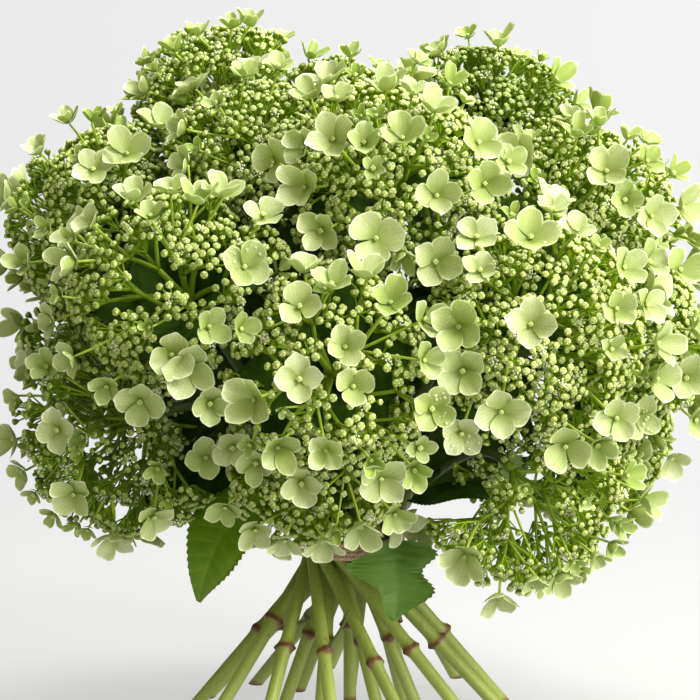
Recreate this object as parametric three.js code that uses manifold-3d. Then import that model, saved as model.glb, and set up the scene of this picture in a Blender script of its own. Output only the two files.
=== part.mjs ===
// A hand-tied bunch of green hydrangeas that stands on its own cut stems.
// Twenty-one stems cross in one narrow neck, where twine binds them, and fan out again below it to the ground.
// Each stem carries one domed head of round buds, with four-petalled sterile florets on stalks round its rim.
// Units are millimetres, +Z is up, and the origin is on the ground under the middle of the bunch.
import * as THREE from "three";
import { ConvexHull } from "three/addons/math/ConvexHull.js";
import Module from "manifold-3d";

const wasm = await Module();
wasm.setup();

// ---- Driving dimensions ----
const NECK_HEIGHT = 79; // the binding, above the ground
const STEM_RADIUS = 2.9; // below the binding
const STEM_TOP_RADIUS = 2.2; // under a head
const STEM_SIDES = 5;
const STEM_RINGS_ABOVE = 4; // on the curved stretch between the binding and the head
const STRAIGHT_ABOVE_NECK = 7; // how far a stem runs straight past the binding
const STEM_BOW = 0.42; // pull of the curve's ends, of its span; a stem that must clear another has its own
const NODE_SWELLING = 1.1; // how far a leaf scar's ring stands proud
const NODE_HALF_LENGTH = 2.6;
const OUTER_RING = { radius: 17.8, lean: 42.5, slots: 13, first: -110 }; // where the stems cross the neck
const INNER_RING = { radius: 8.0, lean: 22, slots: 7, first: -63 };
const TWIST = 78; // degrees round the neck between a stem's middle and its head
const BUD_DOME_HEIGHT = 0.96; // of the head's radius
const HEAD_MIDDLE = 0.42; // of the radius, from the rim's plane to the middle of the head
const CROWN_DEPTH = 8; // from the rim's plane down to the crown, where the rays part
const UNDERSIDE_SLOPE = 0.3; // rise of the head's underside from the stem to the rim
const COLLAR_DROP = 3.5; // the head's lowest point, below its crown
const CELL_GAP = 0.3; // from a head to the plane that parts it from its neighbour
const BUMPS = 32; // bud clusters on one head, larger than life
const BUMP_DEPTH = 5.5; // valley between two clusters
const FLORETS_ROUND = 6; // on a head's far side, placed by rule
const FLORETS_ON_TOP = 2;
const FLORET_RADIUS = [7.5, 10.5];
const FLORET_LIFT = 5; // above the buds
const FLORET_ROOM = 6; // least distance from a floret's middle to a neighbour's head
const SMALLEST_FLORET = 5.5; // radius; the smaller ones are left to the finer model
const FLAT_CUP = 0.85; // rise of a petal's rim, of the floret's radius: it falls as the floret grows
const CUP_LOSS = 0.048; // for each millimetre of that radius
const STALK_RADIUS = 0.95;
const TIE = { inner: 22.5, thickness: 2.4, turns: 4, pitch: 2.6, sides: 14 };
const LEAF_THICKNESS = 1.0;
const SHORTEST_EDGE = 0.2; // slivers left where florets meet a dome are folded away
const DEGREE = Math.PI / 180;

// The heads: the middle of the dome's rim, the way the dome faces (turn from +X and rise, degrees), the radius
// of its buds, and the stem's place at the neck. The camera of the photograph looks along +Y.
const HEADS = [
  { name: "low_left", rim: [-92, -34, 138], faces: [-152, -20], radius: 51, ring: OUTER_RING, slot: 11 },
  { name: "low_front", rim: [-14, -58, 131], faces: [-97, -25], radius: 46, ring: OUTER_RING, slot: 0 },
  { name: "low_right", rim: [75, -48, 114], faces: [-9, -50], radius: 50, ring: OUTER_RING, slot: 3, bow: 0.25 },
  { name: "low_back_right", rim: [108, 32, 128], faces: [19, -18], radius: 46, ring: OUTER_RING, slot: 5 },
  { name: "low_back_left", rim: [-62, 62, 132], faces: [135, -20], radius: 46, ring: OUTER_RING, slot: 9 },
  { name: "mid_front_left", rim: [-71, -64, 198], faces: [-118, 35], radius: 51, ring: OUTER_RING, slot: 12 },
  { name: "mid_front", rim: [-8, -86, 166], faces: [-92, 12], radius: 50, ring: OUTER_RING, slot: 1 },
  { name: "mid_front_right", rim: [75, -68, 182], faces: [-66, 18], radius: 53, ring: OUTER_RING, slot: 2, bow: 0.57 },
  { name: "mid_right", rim: [118, -10, 174], faces: [-6, 4], radius: 47, ring: OUTER_RING, slot: 4 },
  { name: "mid_left", rim: [-100, 22, 172], faces: [170, 6], radius: 46, ring: OUTER_RING, slot: 10 },
  { name: "mid_back_right", rim: [74, 74, 188], faces: [48, 21], radius: 50, ring: OUTER_RING, slot: 6 },
  { name: "mid_back_left", rim: [-70, 80, 192], faces: [128, 20], radius: 50, ring: OUTER_RING, slot: 8 },
  { name: "mid_back", rim: [2, 94, 162], faces: [90, 2], radius: 48, ring: OUTER_RING, slot: 7 },
  { name: "high_front", rim: [17, -35, 238], faces: [-83, 51], radius: 55, ring: INNER_RING, slot: 0 },
  { name: "high_front_left", rim: [-42, -14, 249], faces: [-127, 58], radius: 44, ring: INNER_RING, slot: 6 },
  { name: "high_left", rim: [-106, -2, 222], faces: [-175, 37], radius: 50, ring: INNER_RING, slot: 5 },
  { name: "high_right", rim: [100, 6, 224], faces: [-8, 41], radius: 51, ring: INNER_RING, slot: 1 },
  { name: "high_back", rim: [3, 80, 224], faces: [90, 42], radius: 49, ring: INNER_RING, slot: 3 },
  { name: "top_left", rim: [-58, 36, 272], faces: [155, 62], radius: 46, ring: INNER_RING, slot: 4 },
  { name: "top_middle", rim: [-2, 26, 258], faces: [90, 88], radius: 44, ring: null, slot: 0 },
  { name: "top_right", rim: [63, 38, 262], faces: [30, 64], radius: 47, ring: INNER_RING, slot: 2 },
];

// The florets on the sides that the photo shows, by head. Each row is the floret's place on the dome (turn round
// the head's axis and tilt from it, degrees), its radius, and the way it faces (turn and tilt again).
const FLORETS = {
  low_left: [
    [38, 32, 9.3, 21, 38], [78, 46, 6.4, 38, 57], [127, 36, 6.1, 359, 13], [147, 21, 7.8, 63, 20],
    [187, 15, 6.5, 359, 13], [224, 16, 4.8, 327, 26], [264, 20, 5.6, 309, 34], [302, 32, 4.7, 312, 45],
    [305, 42, 8.6, 310, 57], [328, 58, 8.9, 327, 77], [342, 26, 8.9, 355, 44],
  ],
  low_front: [
    [90, 14, 8.2, 57, 12], [135, 29, 6.6, 85, 14], [145, 42, 8.3, 45, 22], [169, 56, 7.6, 66, 33],
    [192, 40, 7.2, 228, 8], [211, 27, 7.1, 331, 13], [239, 18, 7.5, 279, 28], [294, 18, 8.4, 279, 28],
    [327, 16, 2.9, 292, 15], [337, 26, 7.5, 309, 18], [344, 42, 7.6, 356, 24],
  ],
  low_right: [
    [111, 42, 6.4, 131, 55], [125, 58, 5.9, 135, 71], [141, 42, 5, 143, 40], [150, 36, 5.1, 169, 38],
    [164, 38, 5, 183, 36], [177, 43, 4.6, 181, 48], [188, 41, 7.6, 202, 41], [198, 49, 5.5, 216, 48],
    [214, 76, 9.7, 199, 74], [224, 52, 8.5, 220, 46], [292, 94, 8, 201, 80],
  ],
  low_back_right: [
    [182, 52, 8.1, 213, 78],
  ],
  low_back_left: [
    [328, 96, 10.6, 344, 113],
  ],
  mid_front_left: [
    [26, 10, 5.7, 46, 25], [28, 56, 8.3, 51, 30], [34, 29, 6.6, 56, 35], [39, 40, 8.2, 62, 38],
    [58, 22, 7.4, 68, 34], [82, 44, 7.1, 221, 35], [95, 12, 7, 71, 26], [174, 18, 7.4, 177, 19],
    [186, 29, 4.2, 227, 17], [208, 66, 7.2, 227, 47], [211, 26, 7.4, 222, 42], [218, 42, 4.6, 221, 35],
    [236, 63, 7.1, 257, 52], [258, 68, 6.6, 286, 61], [272, 75, 10.3, 302, 59], [298, 55, 9.3, 308, 55],
    [301, 63, 10.2, 314, 58], [320, 53, 6.9, 343, 58], [355, 50, 10.2, 349, 45],
  ],
  mid_front: [
    [3, 40, 7.3, 353, 39], [26, 46, 7.3, 11, 43], [36, 9, 7.6, 36, 10], [44, 36, 7.3, 73, 25], [66, 40, 7.7, 89, 58],
    [87, 31, 7.3, 84, 43], [104, 40, 7.3, 89, 61], [116, 24, 8.8, 83, 15], [158, 40, 6.1, 2, 39],
    [196, 61, 7.4, 298, 23], [207, 32, 9.6, 205, 28], [215, 12, 9.6, 353, 2], [228, 24, 3.2, 265, 59],
    [239, 40, 7.2, 298, 30], [270, 35, 6.8, 277, 18], [296, 58, 10.2, 285, 31], [311, 68, 5.8, 295, 33],
    [318, 14, 7.6, 331, 12], [319, 57, 5.7, 329, 23], [338, 50, 8.9, 337, 15],
  ],
  mid_front_right: [
    [34, 24, 7.4, 13, 8], [66, 24, 4.5, 90, 24], [83, 29, 7.8, 100, 42], [92, 42, 7.4, 96, 47],
    [120, 32, 10.6, 135, 28], [136, 50, 9.4, 124, 32], [150, 65, 9.9, 224, 17], [155, 42, 6.9, 146, 31],
    [184, 50, 10.1, 195, 37], [197, 24, 9.7, 192, 24], [204, 55, 9.3, 209, 38], [227, 78, 8.7, 237, 35],
    [230, 54, 10.6, 233, 36], [268, 60, 9.5, 241, 44], [286, 64, 6.7, 255, 44], [293, 51, 9.5, 238, 24],
    [295, 20, 5.3, 227, 9], [312, 68, 8.9, 278, 21], [329, 60, 7.6, 305, 23], [337, 40, 7.5, 337, 32],
    [345, 12, 6.9, 236, 11], [358, 29, 8.3, 342, 22],
  ],
  mid_right: [
    [134, 48, 7.8, 163, 59], [135, 64, 7.8, 154, 49], [173, 42, 6.5, 169, 39], [202, 48, 8.6, 175, 78],
    [252, 44, 7.5, 191, 55],
  ],
  mid_left: [
    [4, 15, 6.8, 353, 52], [318, 24, 6.4, 359, 47],
  ],
  high_front: [
    [2, 64, 9.5, 223, 49], [26, 22, 5.5, 3, 13], [72, 34, 6, 20, 21], [161, 36, 6.4, 169, 22], [173, 6, 7.1, 89, 17],
    [176, 24, 6.7, 103, 14], [190, 56, 9.3, 213, 61], [200, 42, 7.5, 209, 52], [212, 32, 8.7, 229, 33],
    [216, 52, 8.3, 223, 55], [232, 63, 8.7, 238, 62], [234, 27, 6.2, 255, 25], [247, 35, 4.5, 268, 34],
    [256, 60, 11.2, 259, 40], [266, 22, 9.1, 244, 13], [268, 64, 5.4, 271, 98], [285, 44, 8.3, 273, 39],
    [315, 47, 7.9, 277, 42], [323, 15, 7.5, 47, 12], [329, 34, 9.2, 296, 33], [339, 49, 7.2, 309, 39],
    [352, 4, 6.7, 67, 15],
  ],
  high_front_left: [
    [14, 13, 6, 23, 25], [46, 28, 6.5, 19, 19], [226, 36, 8.7, 36, 27], [266, 31, 6, 241, 43],
    [301, 20, 5.1, 281, 30],
  ],
  high_left: [
    [18, 28, 6.1, 46, 26], [20, 58, 9, 24, 71], [36, 66, 9.9, 29, 68], [54, 43, 3.9, 65, 54], [56, 32, 6.1, 64, 30],
    [68, 51, 4.4, 71, 36], [320, 59, 6, 356, 56], [332, 30, 7.4, 339, 32], [342, 58, 5.1, 352, 41],
  ],
  high_right: [
    [113, 44, 5.7, 209, 28], [130, 50, 5.2, 119, 61], [141, 40, 5.7, 117, 46], [145, 52, 5.6, 130, 52],
    [158, 32, 5.2, 124, 32], [167, 23, 6.1, 141, 26], [171, 52, 9.1, 168, 67], [181, 32, 6.5, 180, 48],
    [188, 54, 6.9, 185, 76], [205, 50, 8.7, 200, 61], [208, 24, 5.7, 194, 31], [227, 35, 8.3, 213, 45],
  ],
  top_left: [
    [13, 46, 5.3, 31, 29], [33, 42, 5.4, 62, 40], [58, 46, 5.4, 68, 44], [72, 48, 5.4, 68, 44],
    [132, 53, 5.6, 77, 54], [243, 51, 5.7, 15, 68], [348, 60, 5.8, 350, 53], [357, 52, 4, 358, 32],
  ],
  top_middle: [
    [6, 20, 5.4, 0, 24], [8, 40, 4, 0, 49], [33, 32, 4.5, 25, 28], [280, 20, 5.4, 53, 39],
  ],
  top_right: [
    [94, 35, 5.9, 101, 52], [96, 53, 6.3, 82, 65], [130, 38, 5.8, 117, 40], [150, 42, 4.9, 145, 33],
    [178, 47, 6.3, 182, 51],
  ],
};

// Leaves: the stem that bears each one, how far up that stem (0 at the neck, 1 at the head), the blade's two
// ends, the way its upper face looks and its width.
const LEAVES = [
  { name: "left_hanging", stem: "mid_front_left", at: 0.42, base: [-42, -28, 110], tip: [-67, -35, 59], up: [-0.6, -0.7, 0], width: 36 },
  { name: "right_hanging", stem: "mid_front", at: 0.05, base: [21, -33, 86], tip: [20, -42, 52], up: [0.1, -1, 0.3], width: 34 },
  { name: "inner_left", stem: "low_left", at: 0.5, base: [-48, -14, 117], tip: [-96, -2, 96], up: [-0.2, -0.6, 0.8], width: 38 },
  { name: "inner_right", stem: "low_right", at: 0.5, base: [27, -35, 105], tip: [59, -69, 111], up: [0.5, -0.8, 0.6], width: 34 },
  { name: "upper_right", stem: "high_right", at: 0.8, base: [68, -10, 208], tip: [88, -45, 236], up: [0.4, -0.1, 0.5], width: 34 },
  { name: "upper_left", stem: "high_left", at: 0.8, base: [-66, -19, 203], tip: [-95, -42, 229], up: [-0.8, -0.2, 0.7], width: 32 },
  { name: "back_left", stem: "low_back_left", at: 0.5, base: [-20, 47, 104], tip: [-26, 81, 75], up: [0.4, 1, 0.3], width: 42 },
  { name: "back_right", stem: "low_back_right", at: 0.5, base: [54.2, 45.1, 110.2], tip: [78.6, 84.5, 81.3], up: [0.2, 0.88, 0.53], width: 42 },
];

// ---- Materials ----
const buds = new THREE.MeshStandardMaterial({ color: 0x9fb368, roughness: 0.6, metalness: 0 });
const stemGreen = new THREE.MeshStandardMaterial({ color: 0x8a9e4e, roughness: 0.55, metalness: 0 });
const leafGreen = new THREE.MeshStandardMaterial({ color: 0x3f6a2c, roughness: 0.5, metalness: 0 });
const twine = new THREE.MeshStandardMaterial({ color: 0xc4a080, roughness: 0.9, metalness: 0 });

// ---- Small helpers ----
const vec = (list) => new THREE.Vector3(...list);
const mix = (a, b, t) => a + (b - a) * t;

function facing([turn, rise]) {
  const level = Math.cos(rise * DEGREE);
  return new THREE.Vector3(
    level * Math.cos(turn * DEGREE),
    level * Math.sin(turn * DEGREE),
    Math.sin(rise * DEGREE),
  );
}

// Two unit vectors square to a third.
function sideways(axis) {
  const helper = Math.abs(axis.z) > 0.95 ? new THREE.Vector3(1, 0, 0) : new THREE.Vector3(0, 0, 1);
  const u = helper.cross(axis).normalize();
  return [u, axis.clone().cross(u)];
}

// A repeatable draw between 0 and 1.
function seeded(seed) {
  let state = seed >>> 0;
  return () => {
    state = (Math.imul(state, 1664525) + 1013904223) >>> 0;
    return state / 4294967296;
  };
}

function geometryOf(points, triangles) {
  const geometry = new THREE.BufferGeometry().setFromPoints(points);
  geometry.setIndex(triangles);
  return geometry;
}

function solidOf(points, triangles) {
  const vertProperties = new Float32Array(points.flatMap((p) => [p.x, p.y, p.z]));
  return new wasm.Manifold(new wasm.Mesh({ numProp: 3, vertProperties, triVerts: new Uint32Array(triangles) }));
}

function geometryFromSolid(solid) {
  const mesh = solid.getMesh();
  const points = [];
  for (let i = 0; i < mesh.numVert; i++) {
    points.push(new THREE.Vector3().fromArray(mesh.vertProperties, i * mesh.numProp));
  }
  return geometryOf(points, [...mesh.triVerts]);
}

// A closed skin over rings of equally many points, with a flat cap at each end.
function loft(rings) {
  const sides = rings[0].length;
  const triangles = [];
  for (let r = 0; r + 1 < rings.length; r++) {
    for (let k = 0; k < sides; k++) {
      const a = r * sides + k;
      const b = r * sides + ((k + 1) % sides);
      triangles.push(a, b, b + sides, a, b + sides, a + sides);
    }
  }
  const last = (rings.length - 1) * sides;
  for (let k = 1; k + 1 < sides; k++) {
    triangles.push(0, k + 1, k, last, last + k, last + k + 1);
  }
  return { points: rings.flat(), triangles };
}

function ringRound(centre, u, v, radius, sides) {
  return Array.from({ length: sides }, (_, k) => {
    const turn = (2 * Math.PI * k) / sides;
    return centre.clone().addScaledVector(u, radius * Math.cos(turn)).addScaledVector(v, radius * Math.sin(turn));
  });
}

// ---- The heads' cells: each head is kept on its own side of the plane between it and a neighbour ----
HEADS.forEach((head, index) => {
  head.index = index;
  head.centre = vec(head.rim);
  head.axis = facing(head.faces);
  [head.u, head.v] = sideways(head.axis);
  head.crown = head.centre.clone().addScaledVector(head.axis, -CROWN_DEPTH);
  head.middle = head.centre.clone().addScaledVector(head.axis, HEAD_MIDDLE * head.radius);
});
for (const head of HEADS) {
  head.walls = HEADS.filter((other) => other !== head).map((other) => {
    const normal = other.middle.clone().sub(head.middle);
    const apart = normal.length();
    normal.divideScalar(apart);
    const offset = apart / 2 + (head.radius ** 2 - other.radius ** 2) / (2 * apart);
    return { normal, level: normal.dot(head.middle) + offset };
  });
}

// How far a point is inside the head's cell.
function roomAt(head, point) {
  return Math.min(...head.walls.map((wall) => wall.level - wall.normal.dot(point)));
}

// The way from the crown to a point of the dome: round the axis by turn, and away from it by tilt.
function domeDirection(head, turn, tilt) {
  return head.axis
    .clone()
    .multiplyScalar(Math.cos(tilt))
    .addScaledVector(head.u, Math.sin(tilt) * Math.cos(turn))
    .addScaledVector(head.v, Math.sin(tilt) * Math.sin(turn));
}

// The buds' distance from the crown: half an ellipsoid that stands on the rim.
function budReach(head, direction) {
  const along = direction.dot(head.axis) / BUD_DOME_HEIGHT;
  const acrossSquared = 1 - direction.dot(head.axis) ** 2;
  const depth = CROWN_DEPTH / BUD_DOME_HEIGHT;
  const a = along ** 2 + acrossSquared;
  const b = along * depth;
  return (b + Math.sqrt(b ** 2 - a * (depth ** 2 - head.radius ** 2))) / a;
}

// ---- Head: bud dome ----
// Directions spread evenly over a ball.
function evenDirections(count) {
  const golden = Math.PI * (3 - Math.sqrt(5));
  return Array.from({ length: count }, (_, k) => {
    const z = 1 - (2 * k + 1) / count;
    const across = Math.sqrt(1 - z * z);
    return new THREE.Vector3(across * Math.cos(golden * k), across * Math.sin(golden * k), z);
  });
}

// The distance from the head's middle to its smooth outline: the buds' ellipsoid, the sloping underside
// round the stem, and the walls of its cell.
function outlineDistance(head, direction) {
  const inside = (point) => {
    const from = point.clone().sub(head.centre);
    const rise = from.dot(head.axis);
    const across = Math.sqrt(Math.max(0, from.lengthSq() - rise * rise));
    const underside = UNDERSIDE_SLOPE * Math.max(0, across - STEM_TOP_RADIUS) - CROWN_DEPTH - COLLAR_DROP;
    const inDome = Math.hypot(rise / BUD_DOME_HEIGHT, across) < head.radius;
    return inDome && rise > underside && roomAt(head, point) > CELL_GAP;
  };
  let low = 0;
  let high = 2 * head.radius;
  while (high - low > 0.01) {
    const half = (low + high) / 2;
    if (inside(head.middle.clone().addScaledVector(direction, half))) low = half;
    else high = half;
  }
  return low;
}

// Clusters of buds as pointed bumps: each hull corner is a bump, and each hull face holds the valley between
// three of them.
function budDome(head) {
  const turned = new THREE.Quaternion().setFromUnitVectors(new THREE.Vector3(0, 0, 1), head.axis);
  const peaks = evenDirections(BUMPS).map((direction) => direction.applyQuaternion(turned));
  const hull = new ConvexHull().setFromPoints(peaks);
  const points = peaks.map((peak) =>
    head.middle.clone().addScaledVector(peak, outlineDistance(head, peak)),
  );
  const valleys = new Map();
  for (const face of hull.faces) {
    const direction = face.normal.clone().normalize();
    const towardsStem = direction.dot(head.axis) < -0.45;
    const depth = towardsStem ? 0 : BUMP_DEPTH;
    valleys.set(face, points.length);
    points.push(head.middle.clone().addScaledVector(direction, outlineDistance(head, direction) - depth));
  }
  const triangles = [];
  for (const face of hull.faces) {
    for (let edge = face.edge, k = 0; k < 3; k++, edge = edge.next) {
      const peak = peaks.indexOf(edge.head().point);
      triangles.push(peak, valleys.get(edge.next.twin.face), valleys.get(face));
    }
  }
  return solidOf(points, triangles);
}

// ---- Head: sterile florets ----
function floretAt(head, turn, tilt, radius) {
  const direction = domeDirection(head, turn, tilt);
  const centre = head.crown.clone().addScaledVector(direction, budReach(head, direction) + FLORET_LIFT);
  return { centre, direction, radius };
}

// The florets of the table, then those on the sides that it leaves out: most of them round the rim, the others on
// the dome. One of these that has no room beside a neighbour's head climbs its own dome until it has.
function floretPlaces(head) {
  const draw = seeded(101 + 17 * head.index);
  const listed = (FLORETS[head.name] ?? []).map(([turn, tilt, radius, facesTurn, facesTilt]) => ({
    ...floretAt(head, turn * DEGREE, tilt * DEGREE, radius),
    looks: domeDirection(head, facesTurn * DEGREE, facesTilt * DEGREE),
    spin: 2 * Math.PI * draw(),
  }));
  const more = [];
  const phase = 2 * Math.PI * draw();
  for (let k = 0; k < FLORETS_ROUND + FLORETS_ON_TOP; k++) {
    const atRim = k < FLORETS_ROUND;
    const share = atRim ? k / FLORETS_ROUND : (k - FLORETS_ROUND) / FLORETS_ON_TOP;
    const turn = phase + 2 * Math.PI * share + 0.5 * (draw() - 0.5);
    const radius = mix(...FLORET_RADIUS, draw());
    let tilt = (atRim ? mix(68, 80, draw()) : mix(18, 42, draw())) * DEGREE;
    let place;
    do {
      place = floretAt(head, turn, tilt, radius);
      tilt -= 3 * DEGREE;
    } while (roomAt(head, place.centre) < FLORET_ROOM && tilt > 20 * DEGREE);
    place.looks = place.direction.clone().addScaledVector(head.axis, 0.35 + 0.4 * draw()).normalize();
    place.spin = 2 * Math.PI * draw();
    const apart = listed.every((other) => other.centre.distanceTo(place.centre) > 0.9 * (other.radius + radius));
    const inTable = listed.length > 0 && place.direction.y < -0.1;
    if (roomAt(head, place.centre) > 0.6 * FLORET_ROOM && apart && !inTable) more.push(place);
  }
  return [...listed, ...more];
}

// Four petals in one thin cupped blade on a three-sided stalk whose root is sunk in the dome.
function floretSolid(head, place) {
  const { centre, direction, looks, radius, spin } = place;
  const cup = FLAT_CUP - CUP_LOSS * radius;
  const [u, v] = sideways(looks);
  const at = (across, turn, rise) =>
    centre
      .clone()
      .addScaledVector(u, radius * across * Math.cos(turn))
      .addScaledVector(v, radius * across * Math.sin(turn))
      .addScaledVector(looks, radius * rise);
  const outline = [];
  const step = Math.PI / 2;
  for (let petal = 0; petal < 4; petal++) {
    const middle = spin + petal * step;
    outline.push(at(0.55, middle - step / 2, 0.3 * cup));
    outline.push(at(1, middle - 0.24 * step, cup));
    outline.push(at(1, middle + 0.24 * step, cup));
  }
  const heart = at(0, 0, 0.02);
  const root = head.crown.clone().addScaledVector(direction, 0.7 * budReach(head, direction));
  const down = root.clone().sub(centre).normalize();
  const [su, sv] = sideways(down);
  const count = outline.length;
  const stalkTop = ringRound(centre.clone().addScaledVector(looks, -1.1), u, v, STALK_RADIUS, 3);
  const stalkRoot = ringRound(root, su, sv, STALK_RADIUS, 3);
  return petalSkin(outline, heart, stalkTop, stalkRoot, count);
}

// The faces of a floret: a fan of petals above, a skirt from the stalk's top to the same outline below, and the
// stalk's three sides and its foot.
function petalSkin(outline, heart, stalkTop, stalkRoot, count) {
  const top = count + 1;
  const triangles = [];
  const nearest = outline.map((point) =>
    stalkTop.reduce((best, corner, k) => (corner.distanceTo(point) < stalkTop[best].distanceTo(point) ? k : best), 0),
  );
  for (let k = 0; k < count; k++) {
    const next = (k + 1) % count;
    triangles.push(count, k, next);
    triangles.push(k, top + nearest[k], next);
    if (nearest[k] !== nearest[next]) triangles.push(top + nearest[k], top + nearest[next], next);
  }
  // The root ring is matched to the top ring, corner by corner, whichever way it is turned.
  const matched = matchRing(stalkTop, stalkRoot);
  for (let k = 0; k < 3; k++) {
    const next = (k + 1) % 3;
    triangles.push(top + k, top + 3 + k, top + 3 + next, top + k, top + 3 + next, top + next);
  }
  triangles.push(top + 3, top + 5, top + 4);
  return solidOf([...outline, heart, ...stalkTop, ...matched], triangles);
}

// The corners of ring b in the order, and from the corner, that lie straightest below ring a's.
function matchRing(a, b) {
  const orders = [];
  for (let start = 0; start < 3; start++) {
    orders.push([0, 1, 2].map((k) => b[(start + k) % 3]));
    orders.push([0, 1, 2].map((k) => b[(start + 3 - k) % 3]));
  }
  const spread = (order) => order.reduce((sum, point, k) => sum + point.distanceToSquared(a[k]), 0);
  return orders.reduce((best, order) => (spread(order) < spread(best) ? order : best));
}

function headGeometry(head) {
  let solid = budDome(head);
  for (const place of floretPlaces(head).filter((one) => one.radius >= SMALLEST_FLORET)) {
    solid = solid.add(floretSolid(head, place));
  }
  for (const wall of head.walls) {
    solid = solid.trimByPlane(wall.normal.clone().negate().toArray(), -(wall.level - CELL_GAP));
  }
  const bodies = solid.asOriginal().simplify(SHORTEST_EDGE).decompose();
  return geometryFromSolid(bodies.reduce((most, body) => (body.volume() > most.volume() ? body : most)));
}

// ---- Stems ----
// A stem is straight through the neck, where it leans along its ring, and then curves out to its head.
function stemLine(head) {
  const draw = seeded(900 + head.index);
  const ring = head.ring;
  const neck = new THREE.Vector3(0, 0, NECK_HEIGHT);
  const way = new THREE.Vector3(0, 0, 1);
  if (ring) {
    const turn = (ring.first + (360 / ring.slots) * head.slot + TWIST) * DEGREE;
    const lean = ring.lean * DEGREE;
    neck.x = ring.radius * Math.cos(turn);
    neck.y = ring.radius * Math.sin(turn);
    way.set(Math.sin(turn) * Math.sin(lean), -Math.cos(turn) * Math.sin(lean), Math.cos(lean));
  }
  const raised = head.index % 3 === 1 ? 2 + 7 * draw() : 0; // a third of the stems are cut a little short
  const foot = neck.clone().addScaledVector(way, -(NECK_HEIGHT - raised) / way.z);
  const bend = neck.clone().addScaledVector(way, STRAIGHT_ABOVE_NECK / way.z);
  const end = head.crown.clone().addScaledVector(head.axis, -COLLAR_DROP - 0.4);
  const pull = (head.bow ?? STEM_BOW) * bend.distanceTo(end);
  const curve = new THREE.CubicBezierCurve3(
    bend,
    bend.clone().addScaledVector(way, pull),
    end.clone().addScaledVector(head.axis, -pull),
    end,
  );
  const scars = [0.3 + 0.3 * draw(), 0.8];
  return { foot, neck, bend, way, curve, scars };
}

function stemGeometry(line) {
  const stations = [];
  const length = line.foot.distanceTo(line.bend);
  const scar = line.scars[0] * line.foot.distanceTo(line.neck);
  const along = (distance) => line.foot.clone().addScaledVector(line.way, distance);
  stations.push({ point: line.foot, way: line.way, radius: STEM_RADIUS });
  stations.push({ point: along(scar - NODE_HALF_LENGTH), way: line.way, radius: STEM_RADIUS });
  stations.push({ point: along(scar), way: line.way, radius: STEM_RADIUS + NODE_SWELLING });
  stations.push({ point: along(scar + NODE_HALF_LENGTH), way: line.way, radius: STEM_RADIUS });
  stations.push({ point: along(length), way: line.way, radius: STEM_RADIUS });
  for (let k = 1; k <= STEM_RINGS_ABOVE; k++) {
    const share = k / STEM_RINGS_ABOVE;
    stations.push({
      point: line.curve.getPoint(share),
      way: line.curve.getTangent(share),
      radius: mix(STEM_RADIUS, STEM_TOP_RADIUS, share),
    });
  }
  let [u] = sideways(stations[0].way);
  const rings = stations.map((station, k) => {
    u = u.clone().addScaledVector(station.way, -u.dot(station.way)).normalize();
    const ring = ringRound(station.point, u, station.way.clone().cross(u), station.radius, STEM_SIDES);
    if (k > 0) return ring;
    // The foot is cut level, so its corners slide along the stem to the ground.
    return ring.map((p) => p.addScaledVector(station.way, (station.point.z - p.z) / station.way.z));
  });
  const skin = loft(rings);
  return geometryOf(skin.points, skin.triangles);
}

// ---- Leaves ----
// One skin with a diamond section: narrow along the stalk, wide and thin in the toothed blade.
function leafGeometry(leaf, line) {
  const base = vec(leaf.base);
  const tip = vec(leaf.tip);
  const up = vec(leaf.up).normalize();
  const grown = line.curve.getPoint(leaf.at);
  const start = grown.clone().lerp(base, (STEM_RADIUS + 1.2) / grown.distanceTo(base));
  const blade = tip.clone().sub(base);
  const rows = [];
  const row = (point, way, half, thick, fold) => {
    const side = way.clone().cross(up).normalize();
    const face = side.clone().cross(way).normalize();
    rows.push([
      point.clone().addScaledVector(side, -half).addScaledVector(face, fold * half),
      point.clone().addScaledVector(face, thick / 2),
      point.clone().addScaledVector(side, half).addScaledVector(face, fold * half),
      point.clone().addScaledVector(face, -thick / 2),
    ]);
  };
  row(start, base.clone().sub(start).normalize(), 1.3, 2.4, 0);
  row(start.clone().lerp(base, 0.75), blade.clone().normalize(), 1.2, 2.2, 0);
  const teeth = 12;
  for (let k = 0; k <= teeth; k++) {
    const share = k / teeth;
    const arch = 0.12 * blade.length() * Math.sin(Math.PI * share);
    const point = base.clone().addScaledVector(blade, share).addScaledVector(up, arch);
    const ovate = Math.sin(Math.PI * Math.pow(share * 0.93 + 0.035, 0.72));
    const tooth = k % 2 ? 1.1 : 0.9;
    const half = Math.max(k === teeth ? 0.5 : 1.4, (leaf.width / 2) * ovate * tooth);
    row(point, blade.clone().normalize(), half, k === teeth ? 0.7 : LEAF_THICKNESS, 0.18);
  }
  const skin = loft(rows);
  return geometryOf(skin.points, skin.triangles);
}

// ---- Binding ----
// Turns of twine lying side by side round the neck.
function tieGeometry() {
  const half = (TIE.turns * TIE.pitch) / 2;
  const profile = [new THREE.Vector2(TIE.inner, half), new THREE.Vector2(TIE.inner, -half)];
  for (let k = 0; k < TIE.turns; k++) {
    const low = -half + k * TIE.pitch;
    profile.push(new THREE.Vector2(TIE.inner + 0.55 * TIE.thickness, low));
    profile.push(new THREE.Vector2(TIE.inner + TIE.thickness, low + TIE.pitch / 2));
  }
  profile.push(new THREE.Vector2(TIE.inner + 0.55 * TIE.thickness, half));
  profile.push(profile[0].clone());
  const ring = new THREE.LatheGeometry(profile, TIE.sides);
  ring.rotateX(Math.PI / 2);
  ring.translate(0, 0, NECK_HEIGHT);
  return ring;
}

// ---- Assembly ----
const bunch = new THREE.Group();

function addPart(name, geometry, material) {
  const mesh = new THREE.Mesh(geometry, material);
  mesh.name = name;
  bunch.add(mesh);
}

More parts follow.
